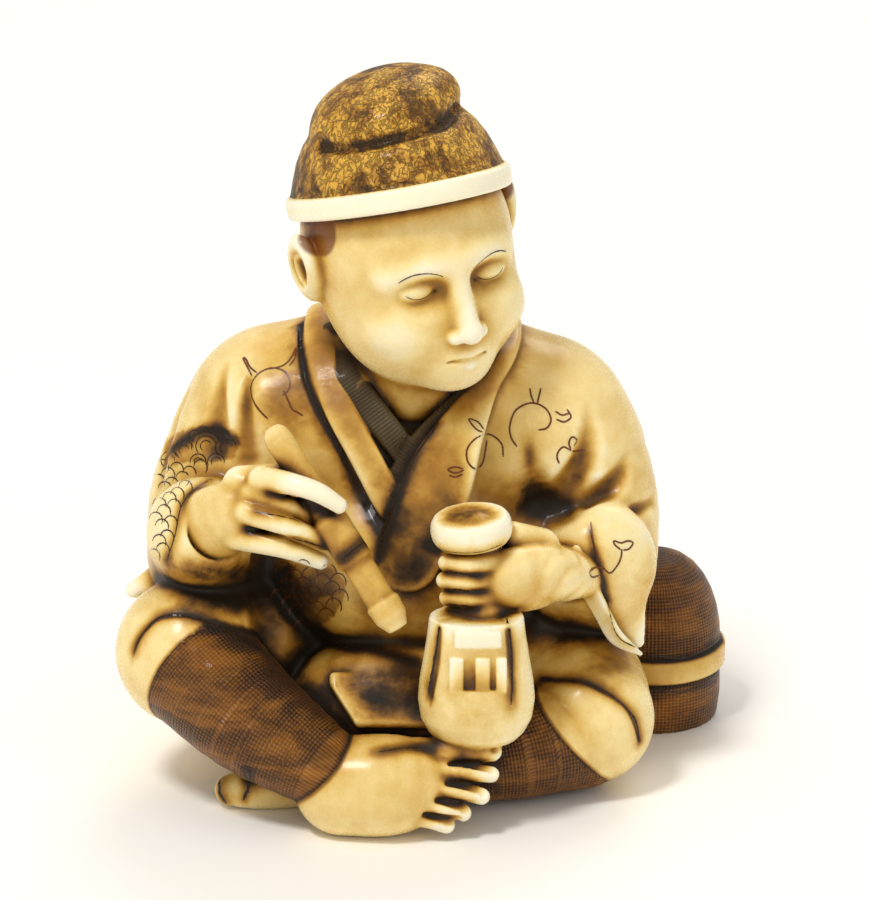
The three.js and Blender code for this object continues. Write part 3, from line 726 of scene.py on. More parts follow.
def zoneEdge(*names):  # above 0 inside the named zones, below 0 outside, in millimetres
    own = np.minimum.reduce([closeness[name] for name in names])
    rest = np.minimum.reduce([field for name, field in closeness.items() if name not in names])
    return np.clip(rest - own, -1, 1)


pit = {
    "nearPit": hollowness(clay, whole, points, 0.35, 1),
    "midPit": hollowness(clay, whole, points, 0.9),
    "farPit": hollowness(clay, whole, points, 2.2),
}
print("recesses read")

# The view the piece was laid out from: a plane of millimetres through the target, right and up.
viewPlan = {"target": (0.84, 0.0, 15.9), "elevation": 20.0, "distance": 320.0,
    "height": 44.55}  # height: what the frame takes in

lift = math.radians(viewPlan["elevation"])
viewTarget = np.array(viewPlan["target"])
viewAway = np.array([0, math.cos(lift), -math.sin(lift)])
viewUp = np.array([0, math.sin(lift), math.cos(lift)])
viewFrom = viewTarget - viewAway * viewPlan["distance"]


def pictured(spots):  # a point's place on the view's plane
    gap = np.asarray(spots, float) - viewTarget
    shrink = viewPlan["distance"] / (viewPlan["distance"] + gap @ viewAway)
    return np.column_stack([gap[:, 0] * shrink, (gap @ viewUp) * shrink])


def insidePolygon(flat, corners):  # signed distance, above 0 inside
    corners = np.array(corners, float)
    nearest, inside = np.full(len(flat), 1e9), np.zeros(len(flat), bool)
    x, y = flat.T
    for a, b in zip(corners, np.roll(corners, -1, axis=0)):
        edge = b - a
        t = np.clip(((x - a[0]) * edge[0] + (y - a[1]) * edge[1]) / (edge @ edge), 0, 1)
        nearest = np.minimum(nearest, np.hypot(x - a[0] - t * edge[0], y - a[1] - t * edge[1]))
        if edge[1]:
            inside ^= ((y >= a[1]) != (y >= b[1])) & (x < a[0] + (y - a[1]) * edge[0] / edge[1])
    return np.where(inside, nearest, -nearest)


facing = normals @ viewAway < 0.1
flat = pictured(points)


def patch(corners, zoneNames):  # a painted area of the cloth, laid out on the view's plane
    allowed = zoneEdge(*zoneNames)
    return np.where(facing, np.minimum(insidePolygon(flat, corners), allowed), -1)


cloth = ("robe", "lapels", "trim")
patches = {
    "cuffScales": [(-13.7, -0.7), (-11.3, -0.75), (-12.0, -1.9), (-12.9, -3.0), (-13.4, -5.6),
        (-14.1, -5.3)],
    "wavePatch": [(-13.47, 0.5), (-13.02, 0.79), (-12.13, 1.14), (-11.14, 1.24), (-10.05, 0.99),
        (-9.65, 0.5), (-10, -0.4), (-11.04, -0.69), (-12.13, -0.59), (-13.47, -0.99)],
    "lapScales": [(-7.87, -5.84), (-6.68, -5.54), (-4.95, -5.94), (-4.26, -6.44), (-4.46, -7.43),
        (-5.2, -8.51), (-6.68, -9.01), (-7.77, -8.02)],
}
painted = {name: patch(patches[name], cloth) for name in ("wavePatch", "lapScales")}
headPlace = (turned(*headPlan["turn"]), np.array(headPlan["centre"]))
headSpots = (points - headPlace[1]) @ headPlace[0]
hairGap = [np.linalg.norm((headSpots - (4.6 * s, -0.35, 2.9)) / (1.2, 1.0, 0.95),  # at the temples
    axis=1) for s in sides]
painted["hair"] = np.minimum(1.1 - np.minimum(*hairGap), zoneEdge("head"))


def wrapped(spots, form):  # length along and round a limb, in millimetres
    path = form["path"]
    best = np.full(len(spots), 1e9)
    along, around = np.zeros(len(spots)), np.zeros(len(spots))
    run = 0
    for a, b in zip(path[:-1], path[1:]):
        axis = b[:3] - a[:3]
        length = np.linalg.norm(axis)
        axis = axis / length
        rise = a[4:] - axis * (a[4:] @ axis)
        rise = rise / np.linalg.norm(rise)
        across = np.cross(axis, rise)
        t = np.clip((spots - a[:3]) @ axis, 0, length)
        out = spots - a[:3] - t[:, None] * axis
        gap = np.linalg.norm(out, axis=1)
        near = gap < best
        best[near] = gap[near]
        along[near] = (run + t)[near]
        around[near] = (np.arctan2(out @ across, out @ rise) * (a[3] + b[3]) / 2)[near]
        run += length
    return along, around


patternAlong, patternAround = flat[:, 0].copy(), flat[:, 1].copy()
shins = [limb(rightShin), limb(leftShin)]
onLegging = closeness["leggings"] < 0.4
shinGap = [form["field"](*points.T) for form in shins]
for form, own, other in ((shins[0], shinGap[0], shinGap[1]), (shins[1], shinGap[1], shinGap[0])):
    chosen = onLegging & (own <= other)
    patternAlong[chosen], patternAround[chosen] = wrapped(points[chosen], form)
onBundle = closeness["bundle"] < 0.4
bx, by, bz = (points[onBundle] - np.array(bundlePlan["centre"])).T
radial = np.hypot(bx, by)
patternAlong[onBundle] = np.where(bz < 4, bz, 4 + np.arctan2(bz - 4, radial) * 4.0)
patternAround[onBundle] = np.arctan2(bx, -by) * bundlePlan["radius"]
for form in (step[1] for step in zones["darkCollar"]):
    near = (form["field"](*points.T) < 0.15) & (closeness["darkCollar"] < 0.3)
    patternAlong[near], patternAround[near] = wrapped(points[near], form)

# Where the stain has gathered more than the recesses say: centre, reach and strength.
stainPlan = [
    ((9.4, 2.2, 8.2), 2.6, 0.7), ((12.4, -0.6, 6.0), 2.0, 0.6), ((0.5, -8.0, 2.2), 2.4, 0.6),
    ((-14.2, -2.0, 7.6), 1.6, 0.5),
    ((-0.8, 10.6, 5.6), 4.0, 0.5), ((-6.4, 9.8, 9.0), 3.0, 0.3), ((4.6, 9.8, 9.0), 3.0, 0.3),
    ((0, 4.6, 19.6), 2.6, 0.5), ((0, 3, 0), 6.0, 0.5),
    ((2.2, -8.6, 16.2), 1.8, 3.0),  # the knob's top
]
stainAndShadeEdge = 1.2  # how quickly a stain, and a patch of painted shade, thins out
# Stain and painted shade on the front, laid out on the view's plane: place, half sizes and strength. The painted
# shade lies below the right hand, beside the left hand, below the knob and under the rattle's teeth.
frontStainsAndShade = [
    ((-7.18, -7.43), (2.7, 2.4), 0.8), ((-11.04, -6.04), (3.4, 1.0), 1.0),
    ((-2.33, -3.47), (1.3, 3.4), 0.35), ((-0.54, -6.19), (1.2, 2.8), 0.6),
    ((-4.7, -11.88), (4.2, 2.0), 0.7), ((-2.6, -12.3), (3.4, 1.9), 0.95),
    ((-7.43, -10.89), (2.0, 2.0), 0.6), ((6.04, -9.01), (2.2, 1.1), 0.8),
    ((8.76, -10.79), (1.8, 1.3), 0.45),
    ((5.2, -2.48), (1.8, 1.2), 0.9), ((7.08, -0.99), (0.7, 1.7), 0.35), ((4.7, -0.5), (0.35, 1.4), 0.4),
    ((8.91, -1.09), (1.2, 0.6), 0.25),
    ((-11.29, 2.23), (0.45, 1.5), 0.4), ((-9.41, 2.23), (0.4, 1.5), 0.35),
    ((2.72, -13.12), (3.0, 1.2), 0.45), ((10.89, -7.43), (0.9, 2.2), 0.6),
    ((-9.16, -9.5), (1.5, 0.8), 0.5), ((-3.12, -7.43), (1.2, 2.2), 0.5),
    ((-10.0, -7.5), (3.0, 0.9), 1.1), ((-7.6, 2.4), (1.7, 1.9), 0.5), ((6.5, 5.0), (1.2, 0.7), 0.25),
    ((-1.9, -3.6), (1.0, 1.4), 0.5), ((1.6, -16.9), (1.0, 2.0), 0.8),
    ((-1.5, -6.6), (1.0, 2.6), 0.5), ((1.98, -11.95), (1.7, 0.5), 1.2), ((-10.6, -17.2), (0.6, 0.9), 0.8),
]
# How much of the stain and painted shade a zone takes; the others take it all.
holds = {"head": 0.35, "rightHand": 0.3, "leftHand": 0.3, "rod": 0.25, "rattle": 0.4, "foot": 0.7,
    "capBand": 0.3}
# What tint a zone has before any stain.
warmth = {
    "robe": 0.36, "lapels": 1.4, "darkCollar": 1.0, "trim": 0.45, "leggings": 0.5, "bundle": -0.5,
    "bundleBand": 1.3, "head": 0.2, "cap": 0.5,
    "capBand": 0.0, "foot": 0.7, "rightHand": 0.9, "leftHand": 0.8, "rod": 2.2, "rattle": 0.2,
}
zoneNames = list(closeness)
gaps = np.array([closeness[name] for name in zoneNames])
tintBlend = 0.09  # over this many millimetres neighbouring zones' tints run into each other
share = np.exp((gaps.min(axis=0) - gaps) / tintBlend)
share /= share.sum(axis=0)
stainAndShade = np.zeros(len(points))
frontShare = np.clip((0.1 - normals @ viewAway) / 0.3, 0, 1)  # fades round the sides and towards the back
frontShare *= np.clip((2 - points[:, 1]) / 2.5, 0, 1)
for centre, reach, strength in stainPlan:
    gap = np.linalg.norm(points - np.array(centre), axis=1) / reach
    stainAndShade = np.maximum(stainAndShade, strength * np.exp(-gap ** 2 * stainAndShadeEdge))
for (u, v), (wide, high), strength in frontStainsAndShade:
    gap2 = ((flat[:, 0] - u) / wide) ** 2 + ((flat[:, 1] - v) / high) ** 2
    stainAndShade = np.maximum(stainAndShade, frontShare * strength * np.exp(-gap2 * stainAndShadeEdge))
stainAndShade = stainAndShade * (np.array([holds.get(name, 1.0) for name in zoneNames]) @ share)
for s in sides:  # in the ears
    gap = np.linalg.norm(points - moved(headPlace, (5.9 * s, 0.2, 1.1)), axis=1)
    stainAndShade = np.maximum(stainAndShade, 0.7 * np.exp(-gap ** 2))
ageing = np.array([warmth[name] for name in zoneNames]) @ share
print("patterns laid out")

# The engraving: fine stained strokes, with dark strokes of painted shade in the gaps between fingers and toes,
# laid on the surface where a plane's rays meet it.
surface = BVHTree.FromPolygons(points.tolist(), triangles.tolist())


def arc(centre, radius, start, end, squash=1.0):
    angles = np.radians(np.linspace(start, end, max(5, int(abs(end - start) * radius / 8))))
    return [(centre[0] + radius * math.cos(a), centre[1] + radius * squash * math.sin(a)) for a in angles]


viewPlane = (viewTarget, np.array([1, 0, 0]), viewUp)
facePlane = (headPlace[1], headPlace[0][:, 0], headPlace[0][:, 2])
standOff = 30  # where rays that have no viewer start, in front of their plane


def laid(stroke, plane=viewPlane, viewer=viewFrom):  # without a viewer the rays run square to the plane
    origin, across, up = plane
    found = []
    for u, v in stroke:
        aim = origin + across * u + up * v
        start = aim + np.cross(across, up) * standOff if viewer is None else viewer
        hit, normal, *rest = surface.ray_cast(Vector(start), Vector(aim - start).normalized())
        if hit is not None:
            found.append((np.array(hit), np.array(normal)))
    return found


strokePlan = {"proud": 0.018, "lap": 0.01,  # how far it stands out, and goes in at its edges and below
    "root": 0.08}


def strokeMesh(found, width, plan=strokePlan):
    corners, faces = [], []
    rows = len(found)
    for i, (spot, normal) in enumerate(found):
        ahead = found[min(i + 1, rows - 1)][0] - found[max(i - 1, 0)][0]
        across = np.cross(ahead, normal)
        across = across / (np.linalg.norm(across) + 1e-9) * width * (0.45 if i in (0, rows - 1) else 1)
        edge = spot - normal * plan["lap"]
        corners += [edge - across, spot + normal * plan["proud"], edge + across,
            spot - normal * plan["root"]]
        if i:
            for k in range(4):
                a, b = 4 * i + k, 4 * i + (k + 1) % 4
                faces += [(a - 4, b - 4, b), (a - 4, b, a)]
    last = 4 * rows - 4
    faces += [(0, 1, 2), (0, 2, 3), (last, last + 2, last + 1), (last, last + 3, last + 2)]
    return corners, faces


seamAndGapShadePlan = [  # stain gathered along a seam, and painted shade in the gaps between fingers and toes: half width, how far it has spread, path
    (0.06, 0.3, [(-6.63, 6.19), (-6.58, 4.41), (-5.99, 2.38), (-5, 0.54), (-4.31, -0.89), (-3.42, -2.72),
        (-2.82, -3.96)]),
    (0.07, 0.3, [(0.1, 1.24), (-0.94, -0.25), (-1.73, -1.98), (-2.48, -3.96), (-2.82, -5.45)]),
    (0.06, 0.4, [(-14.85, -9.9), (-14.6, -9.31), (-13.86, -8.42), (-13.07, -8.17), (-12.13, -8.27),
        (-11.34, -8.47), (-9.9, -9.21), (-8.56, -9.9)]),
    (0.06, 0.4, [(5.25, -11.39), (7.18, -11.49), (8.56, -12.03), (9.85, -13.22), (10.1, -14.41)]),
    (0.05, 0.25, [(7.67, -3.96), (8.02, -5.45), (8.51, -7.43), (9.01, -9.16), (10.15, -9.9)]),
    (0.05, 0.35, [(-13.37, -0.25), (-12.13, 0.64), (-10.99, 1.09), (-10.05, 0.5)]),
    (0.05, 0.3, [(-11.09, -1.44), (-12.13, -2.13), (-12.62, -2.97), (-12.87, -4.21), (-13.27, -5.45)]),
    (0.06, 0.45, [(-4.6, -5.45), (-4.21, -5.1), (-3.71, -4.7), (-3.32, -4.46)]),
    (0.06, 0.4, [(-5.69, -8.86), (-4.46, -9.65), (-3.07, -9.9), (-0.94, -10.5)]),
    # painted shade: dark lines in the gaps between the right hand's fingers
    (0.09, 0.4, [(-8.17, -2.08), (-6.68, -2.43), (-5.1, -3.02)]),
    (0.05, 0.35, [(-8.91, -3.07), (-7.43, -3.32), (-5.79, -3.81)]),
    (0.08, 0.4, [(-9.16, -3.91), (-7.43, -4.26), (-5.59, -4.8)]),
    # painted shade: dark lines in the gaps between the left hand's fingers
    (0.11, 0.4, [(0.5, -6.04), (1.24, -6.09), (2.13, -6.29)]),
    (0.11, 0.4, [(0.5, -6.88), (1.24, -6.93), (2.13, -7.08)]),
    (0.11, 0.4, [(0.59, -7.67), (1.34, -7.72), (2.03, -7.82)]),
    # painted shade: dark lines in the gaps between the toes
    (0.13, 0.45, [(1.29, -15.35), (2.03, -15.4), (2.87, -15.5)]),
    (0.13, 0.45, [(0.89, -16.34), (1.63, -16.39), (2.57, -16.49)]),
    (0.13, 0.45, [(0.45, -17.33), (1.04, -17.38), (1.73, -17.48)]),
    (0.1, 0.4, [(-0.2, -18.12), (0.25, -18.17), (0.74, -18.22)]),
    (0.05, 0.35, [(-0.15, -4.7), (0.74, -5.05), (2.23, -5.05), (3.61, -4.55)]),
    (0.09, 0.4, [(0.25, -8.51), (0.1, -9.65), (-0.1, -10.89), (-0.3, -12.08)]),
    (0.09, 0.4, [(3.56, -8.32), (3.76, -9.65), (3.81, -11.14), (3.76, -12.62)]),
    (0.05, 0.4, [(-2.82, -14.95), (-1.49, -14.75), (-0.15, -14.75)]),
    (0.06, 0.4, [(10.64, -10.15), (12.13, -10.3), (13.37, -9.9), (14.11, -9.31)]),
    (0.06, 0.4, [(10.74, -11.88), (12.13, -11.98), (13.37, -11.63), (14.11, -11.04)]),
    (0.12, 0.45, [(-10.54, -15.94), (-10.69, -16.83), (-10.35, -17.48)]),
    (0.12, 0.4, [(-9.36, -15.74), (-9.21, -16.58), (-9.5, -17.33)]),
]
scrollPlan = {
    "width": 0.075,
    "strokes": [
        [(-7.57, 2.72), (-7.28, 2.92), (-7.18, 3.42), (-7.48, 3.91), (-8.12, 4.06), (-8.76, 3.76),
            (-9.11, 3.17), (-9.01, 2.48), (-8.66, 1.93), (-8.27, 1.53)],
        [(-7.52, 2.97), (-7.28, 2.48), (-7.08, 2.03), (-6.83, 1.88), (-6.53, 1.68)],
        [(-8.81, 3.81), (-9.16, 4.11), (-9.36, 4.5), (-9.5, 4.55), (-9.31, 4.16), (-9.06, 3.66)],
        [(-8.27, 4.01), (-7.57, 4.16), (-7.13, 4.55), (-6.88, 5.05), (-6.93, 4.55), (-7.23, 4.16)],
        [(3.37, -0.35), (3.32, 0.25), (2.97, 0.64), (2.52, 0.79), (1.93, 0.5), (1.58, 0), (1.63, -0.59),
            (1.98, -0.94), (2.33, -0.69), (2.48, -0.1), (2.57, 0.5)],
        [(2.48, 0.84), (2.03, 1.04), (1.68, 1.53), (2.13, 1.39), (2.43, 0.99)],
        [(1.44, -0.99), (1.04, -1.14), (0.64, -0.99), (0.99, -0.84), (1.39, -0.94)],
        [(1.39, -1.19), (0.99, -1.34), (0.69, -1.24)],
        [(4.06, 0.15), (3.76, 0.64), (3.71, 1.24), (4.01, 1.98), (4.75, 2.33), (5.45, 2.08), (5.74, 1.53),
            (5.54, 1.09), (5.1, 0.99)],
        [(4.9, 2.33), (4.75, 2.72), (4.7, 3.07)],
        [(5.05, 2.28), (5.15, 2.67), (5.25, 3.07)],
        [(5.94, 1.93), (6.29, 1.73), (6.68, 1.83)],
        [(5.99, 1.53), (6.39, 1.39), (6.73, 1.63), (6.53, 2.03)],
        [(6.14, -0.69), (6.04, -0.25), (6.34, 0.15), (6.83, -0.05), (7.43, 0)],
        [(6.73, 0), (6.63, 0.35), (6.78, 0.64), (7.03, 0.5), (6.88, 0.2)],
        [(7.72, -3.56), (7.82, -4.46), (8.12, -5.45), (8.61, -6.09), (9.01, -5.74), (9.21, -5.3),
            (9.26, -4.9)],
        [(9.21, -4.95), (8.91, -4.7), (8.86, -4.5), (9.21, -4.6), (9.55, -4.5), (9.8, -4.6), (9.6, -4.9),
            (9.31, -4.95)],
        [(8.37, -5.94), (8.02, -5.79), (7.67, -5.99), (7.77, -6.29), (8.17, -6.19)],
    ],
}
scalePlan = [("cuffScales", 0.74, -14, 0.06), ("lapScales", 0.86, 8, 0.055)]  # outline, pitch, lean, line
wavePlan = {
    "width": 0.05,
    "swirls": [((-11.34, 0.2), (0.28, 0.5, 0.72)), ((-10.35, 0.1), (0.3, 0.52)),
        ((-12.43, 0), (0.25, 0.48)), ((-11.88, 0.69), (0.3,)),
               ((-13.12, -0.5), (0.25, 0.45)), ((-10.84, -0.59), (0.25, 0.42)),
               ((-11.73, -0.59), (0.22, 0.4))],
}
chance = np.random.default_rng(7)


def scales(corners, pitch, lean):  # overlapping fish scales inside an outline
    corners = np.array(corners)
    middle, span = corners.mean(axis=0), np.ptp(corners, axis=0).max()
    c, s = math.cos(math.radians(lean)), math.sin(math.radians(lean))
    count = int(span / pitch) + 1
    drawn = []
    for row in range(-count * 2, count * 2 + 1):
        for column in range(-count, count + 1):
            u, v = (column + 0.5 * (row % 2)) * pitch, row * pitch * 0.5
            place = middle + [u * c - v * s, u * s + v * c] + chance.normal(0, 0.04, 2)
            if insidePolygon(place[None], corners)[0] > 0.05:
                drawn.append(arc(place, pitch * 0.46, lean + 185, lean - 15 + chance.normal(0, 12), 1.15))
    return drawn


def runs(found):  # a stroke breaks where the surface under it does
    start = 0
    for i in range(1, len(found) + 1):
        if i == len(found) or np.linalg.norm(found[i][0] - found[i - 1][0]) > 0.8:
            if i - start > 2:
                yield found[start:i]
            start = i


facePlan = {"browWidth": 0.05, "lashWidth": 0.045}
eyeLine, apart = headPlan["eyeLevel"], headPlan["eyeSpacing"]
inkAndShadeStrokes = [(laid(smoothPath(stroke, 4)), scrollPlan["width"], 0.0) for stroke in scrollPlan["strokes"]]
for name, pitch, lean, width in scalePlan:
    inkAndShadeStrokes += [(laid(stroke), width, 0.6) for stroke in scales(patches[name], pitch, lean)]
for centre, radii in wavePlan["swirls"]:
    for radius in radii:
        start = chance.uniform(-30, 30)
        inkAndShadeStrokes.append((laid(arc(centre, radius, start, start + 215)), wavePlan["width"], 1.0))
for s in sides:
    brow = arc((s * apart, eyeLine - 0.4), 1.55, 90 - 42, 90 + 42)
    lash = arc((s * apart, eyeLine + 0.55), 0.95, 270 - 52, 270 + 52, 0.9)
    inkAndShadeStrokes.append((laid(brow, facePlane, None), facePlan["browWidth"], 1.0))
    inkAndShadeStrokes.append((laid(lash, facePlane, None), facePlan["lashWidth"], 1.0))
# The halo: stain spread beside the seams, and painted shade round the gaps between fingers and toes.
halo = np.zeros(len(points))
for width, reach, path in seamAndGapShadePlan:
    seamAndGapLine = laid(smoothPath(path, 5))
    inkAndShadeStrokes.append((seamAndGapLine, width, 1.0))
    for run in runs(seamAndGapLine):
        for (a, _), (b, _) in zip(run[:-1], run[1:]):
            near = np.all(np.abs(points - (a + b) / 2) < 2.5 * reach + 0.5, axis=1)
            t = np.clip((points[near] - a) @ (b - a) / ((b - a) @ (b - a) + 1e-9), 0, 1)
            gap = np.linalg.norm(points[near] - a - t[:, None] * (b - a), axis=1) / reach
            halo[near] = np.maximum(halo[near], np.exp(-gap ** 2))

skinCount = len(points)
meshes, depths = [], []
for found, width, dark in inkAndShadeStrokes:
    for run in runs(found):
        corners, faces = strokeMesh(run, width)
        meshes.append((corners, np.array(faces), np.repeat([normal for spot, normal in run], 4, axis=0)))
        depths.append(np.full(len(corners), dark))
for corners, faces, outward in meshes:
    triangles = np.vstack([triangles, faces + len(points)])
    points = np.vstack([points, corners])
    normals = np.vstack([normals, outward])
inkAndShadeDarkness = np.concatenate([np.zeros(skinCount), *depths])
inkAndShadeLines = (np.arange(len(points)) >= skinCount).astype(float)
added = len(points) - skinCount


def spread(values, filler):
    return np.concatenate([values, np.full(added, filler)])


hemPlans = [((-10.45, -5.9, 6.75), (0.62, -0.68, -0.4)),  # the legging shows beyond these
    ((6.7, -8.0, 4.3), (-0.77, 0, -0.64))]
woven = zoneEdge("leggings", "bundle")
for (centre, axis), own, other in zip(hemPlans, (shinGap[0], shinGap[1]), (shinGap[1], shinGap[0])):
    beyond = (points[:skinCount] - np.array(centre)) @ np.array(axis) / np.linalg.norm(axis)
    woven = np.where(onLegging & (own <= other), np.minimum(woven, beyond), woven)

readings = {
    "inkAndShadeLines": inkAndShadeLines, "inkAndShadeDarkness": inkAndShadeDarkness, "ageing": spread(ageing, 0),
    "wovenEdge": spread(woven, -1.0),
    "capEdge": spread(zoneEdge("cap"), -1.0),
    "hatchEdge": spread(zoneEdge("darkCollar"), -1.0),
    "patternAlong": spread(patternAlong, 0), "patternAround": spread(patternAround, 0),
    "stainAndShade": spread(stainAndShade, 0), "halo": spread(halo, 0),
}
readings.update({name: spread(values, 0.4) for name, values in pit.items()})
readings.update({name: spread(values, -1.0) for name, values in painted.items()})

mesh = bpy.data.meshes.new("netsuke_carving")
mesh.from_pydata((points * mm).tolist(), [], triangles.tolist())
for name, values in readings.items():
    mesh.attributes.new(name, "FLOAT", "POINT").data.foreach_set("value", values.astype(np.float32))
mesh.polygons.foreach_set("use_smooth", np.ones(len(mesh.polygons), bool))
mesh.normals_split_custom_set_from_vertices(normals.tolist())
carving = bpy.data.objects.new("netsuke_carving", mesh)
bpy.context.collection.objects.link(carving)
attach(carving, "root")
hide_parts("netsuke")
print("mesh made", len(mesh.polygons), "triangles")


class Shader:
    def __init__(self, name):
        self.material = bpy.data.materials.new(name)
        self.material.use_nodes = True
        self.tree = self.material.node_tree
        self.surface = next(node for node in self.tree.nodes if node.type == "BSDF_PRINCIPLED")

    def node(self, kind, inputs=(), **settings):
        made = self.tree.nodes.new("ShaderNode" + kind)
        for key, value in settings.items():
            setattr(made, key, value)
        for key, value in dict(inputs).items():
            self.put(made.inputs[key], value)
        return made

    def put(self, socket, value):
        if isinstance(value, bpy.types.NodeSocket):
            self.tree.links.new(value, socket)
        else:
            socket.default_value = value

    def reading(self, name):
        return self.node("Attribute", attribute_name=name).outputs["Fac"]

    def math(self, operation, *values):
        return self.node("Math", dict(enumerate(values)), operation=operation).outputs[0]

    def times(self, a, b):
        return self.math("MULTIPLY", a, b)

    def gain(self, value, middle, amount):  # how far a value is from its middle, times an amount
        return self.times(self.math("SUBTRACT", value, middle), amount)

    def total(self, first, *others):
        for other in others:
            first = self.math("ADD", first, other)
        return first

    def range(self, value, start, end, low=0.0, high=1.0):
        inputs = {"Value": value, "From Min": start, "From Max": end, "To Min": low, "To Max": high}
        return self.node("MapRange", inputs, interpolation_type="SMOOTHSTEP").outputs[0]

    def place(self, stretch=(1, 1, 1)):  # the object's own place, in millimetres
        where = self.node("TexCoord").outputs["Object"]
        scaled = self.node("VectorMath", {0: where, 1: [side / mm for side in stretch]},
            operation="MULTIPLY")
        return scaled.outputs[0]

    def noise(self, where, scale, detail=3.0, rough=0.55, warp=0.0):
        inputs = {"Vector": where, "Scale": scale, "Detail": detail, "Roughness": rough, "Distortion": warp}
        return self.node("TexNoise", inputs).outputs["Fac"]

    def ramp(self, value, stops):
        made = self.node("ValToRGB", {"Fac": value})
        elements = made.color_ramp.elements
        while len(elements) < len(stops):
            elements.new(0.5)
        for element, (position, colour) in zip(elements, stops):
            element.position, element.color = position, colour
        return made.outputs["Color"]

    def mix(self, share, a, b):  # sockets 6, 7 and 2 are the node's colours
        return self.node("Mix", {0: share, 6: a, 7: b}, data_type="RGBA").outputs[2]


def tone(red, green, blue):  # a display colour of 0 to 255, as the shader wants it
    values = [c / 255 for c in (red, green, blue)]
    return [c / 12.92 if c < 0.04045 else ((c + 0.055) / 1.055) ** 2.4 for c in values] + [1.0]


ivoryPlan = {
    "stainAndShadeTones": [  # from rubbed bare to full of stain; the darkest stops also give the painted shade of the deepest gaps
        (0.0, tone(253, 243, 214)), (0.2, tone(246, 223, 158)), (0.42, tone(218, 178, 90)),
        (0.58, tone(172, 122, 42)),
        (0.75, tone(98, 64, 19)), (0.95, tone(32, 22, 8)),
    ],
    "line": tone(118, 58, 16), "darkLine": tone(46, 26, 8),
    "capPale": tone(222, 170, 64), "capMiddle": tone(166, 114, 30), "capDark": tone(66, 44, 12),
    "threadPale": tone(170, 108, 32), "threadDark": tone(56, 30, 8), "collarPale": tone(42, 29, 9),
    "collarDark": tone(20, 14, 4),
    "weavePitch": (0.17, 0.21),  # in millimetres, along and round
    "gloss": 0.26, "relief": 0.00011,
    "surface": {
        "Subsurface Weight": 0.25, "Subsurface Radius": (1.0, 0.62, 0.32), "Subsurface Scale": 0.0005,
        "IOR": 1.53, "Specular IOR Level": 0.26, "Coat Weight": 0.07, "Coat Roughness": 0.09,
    },
}


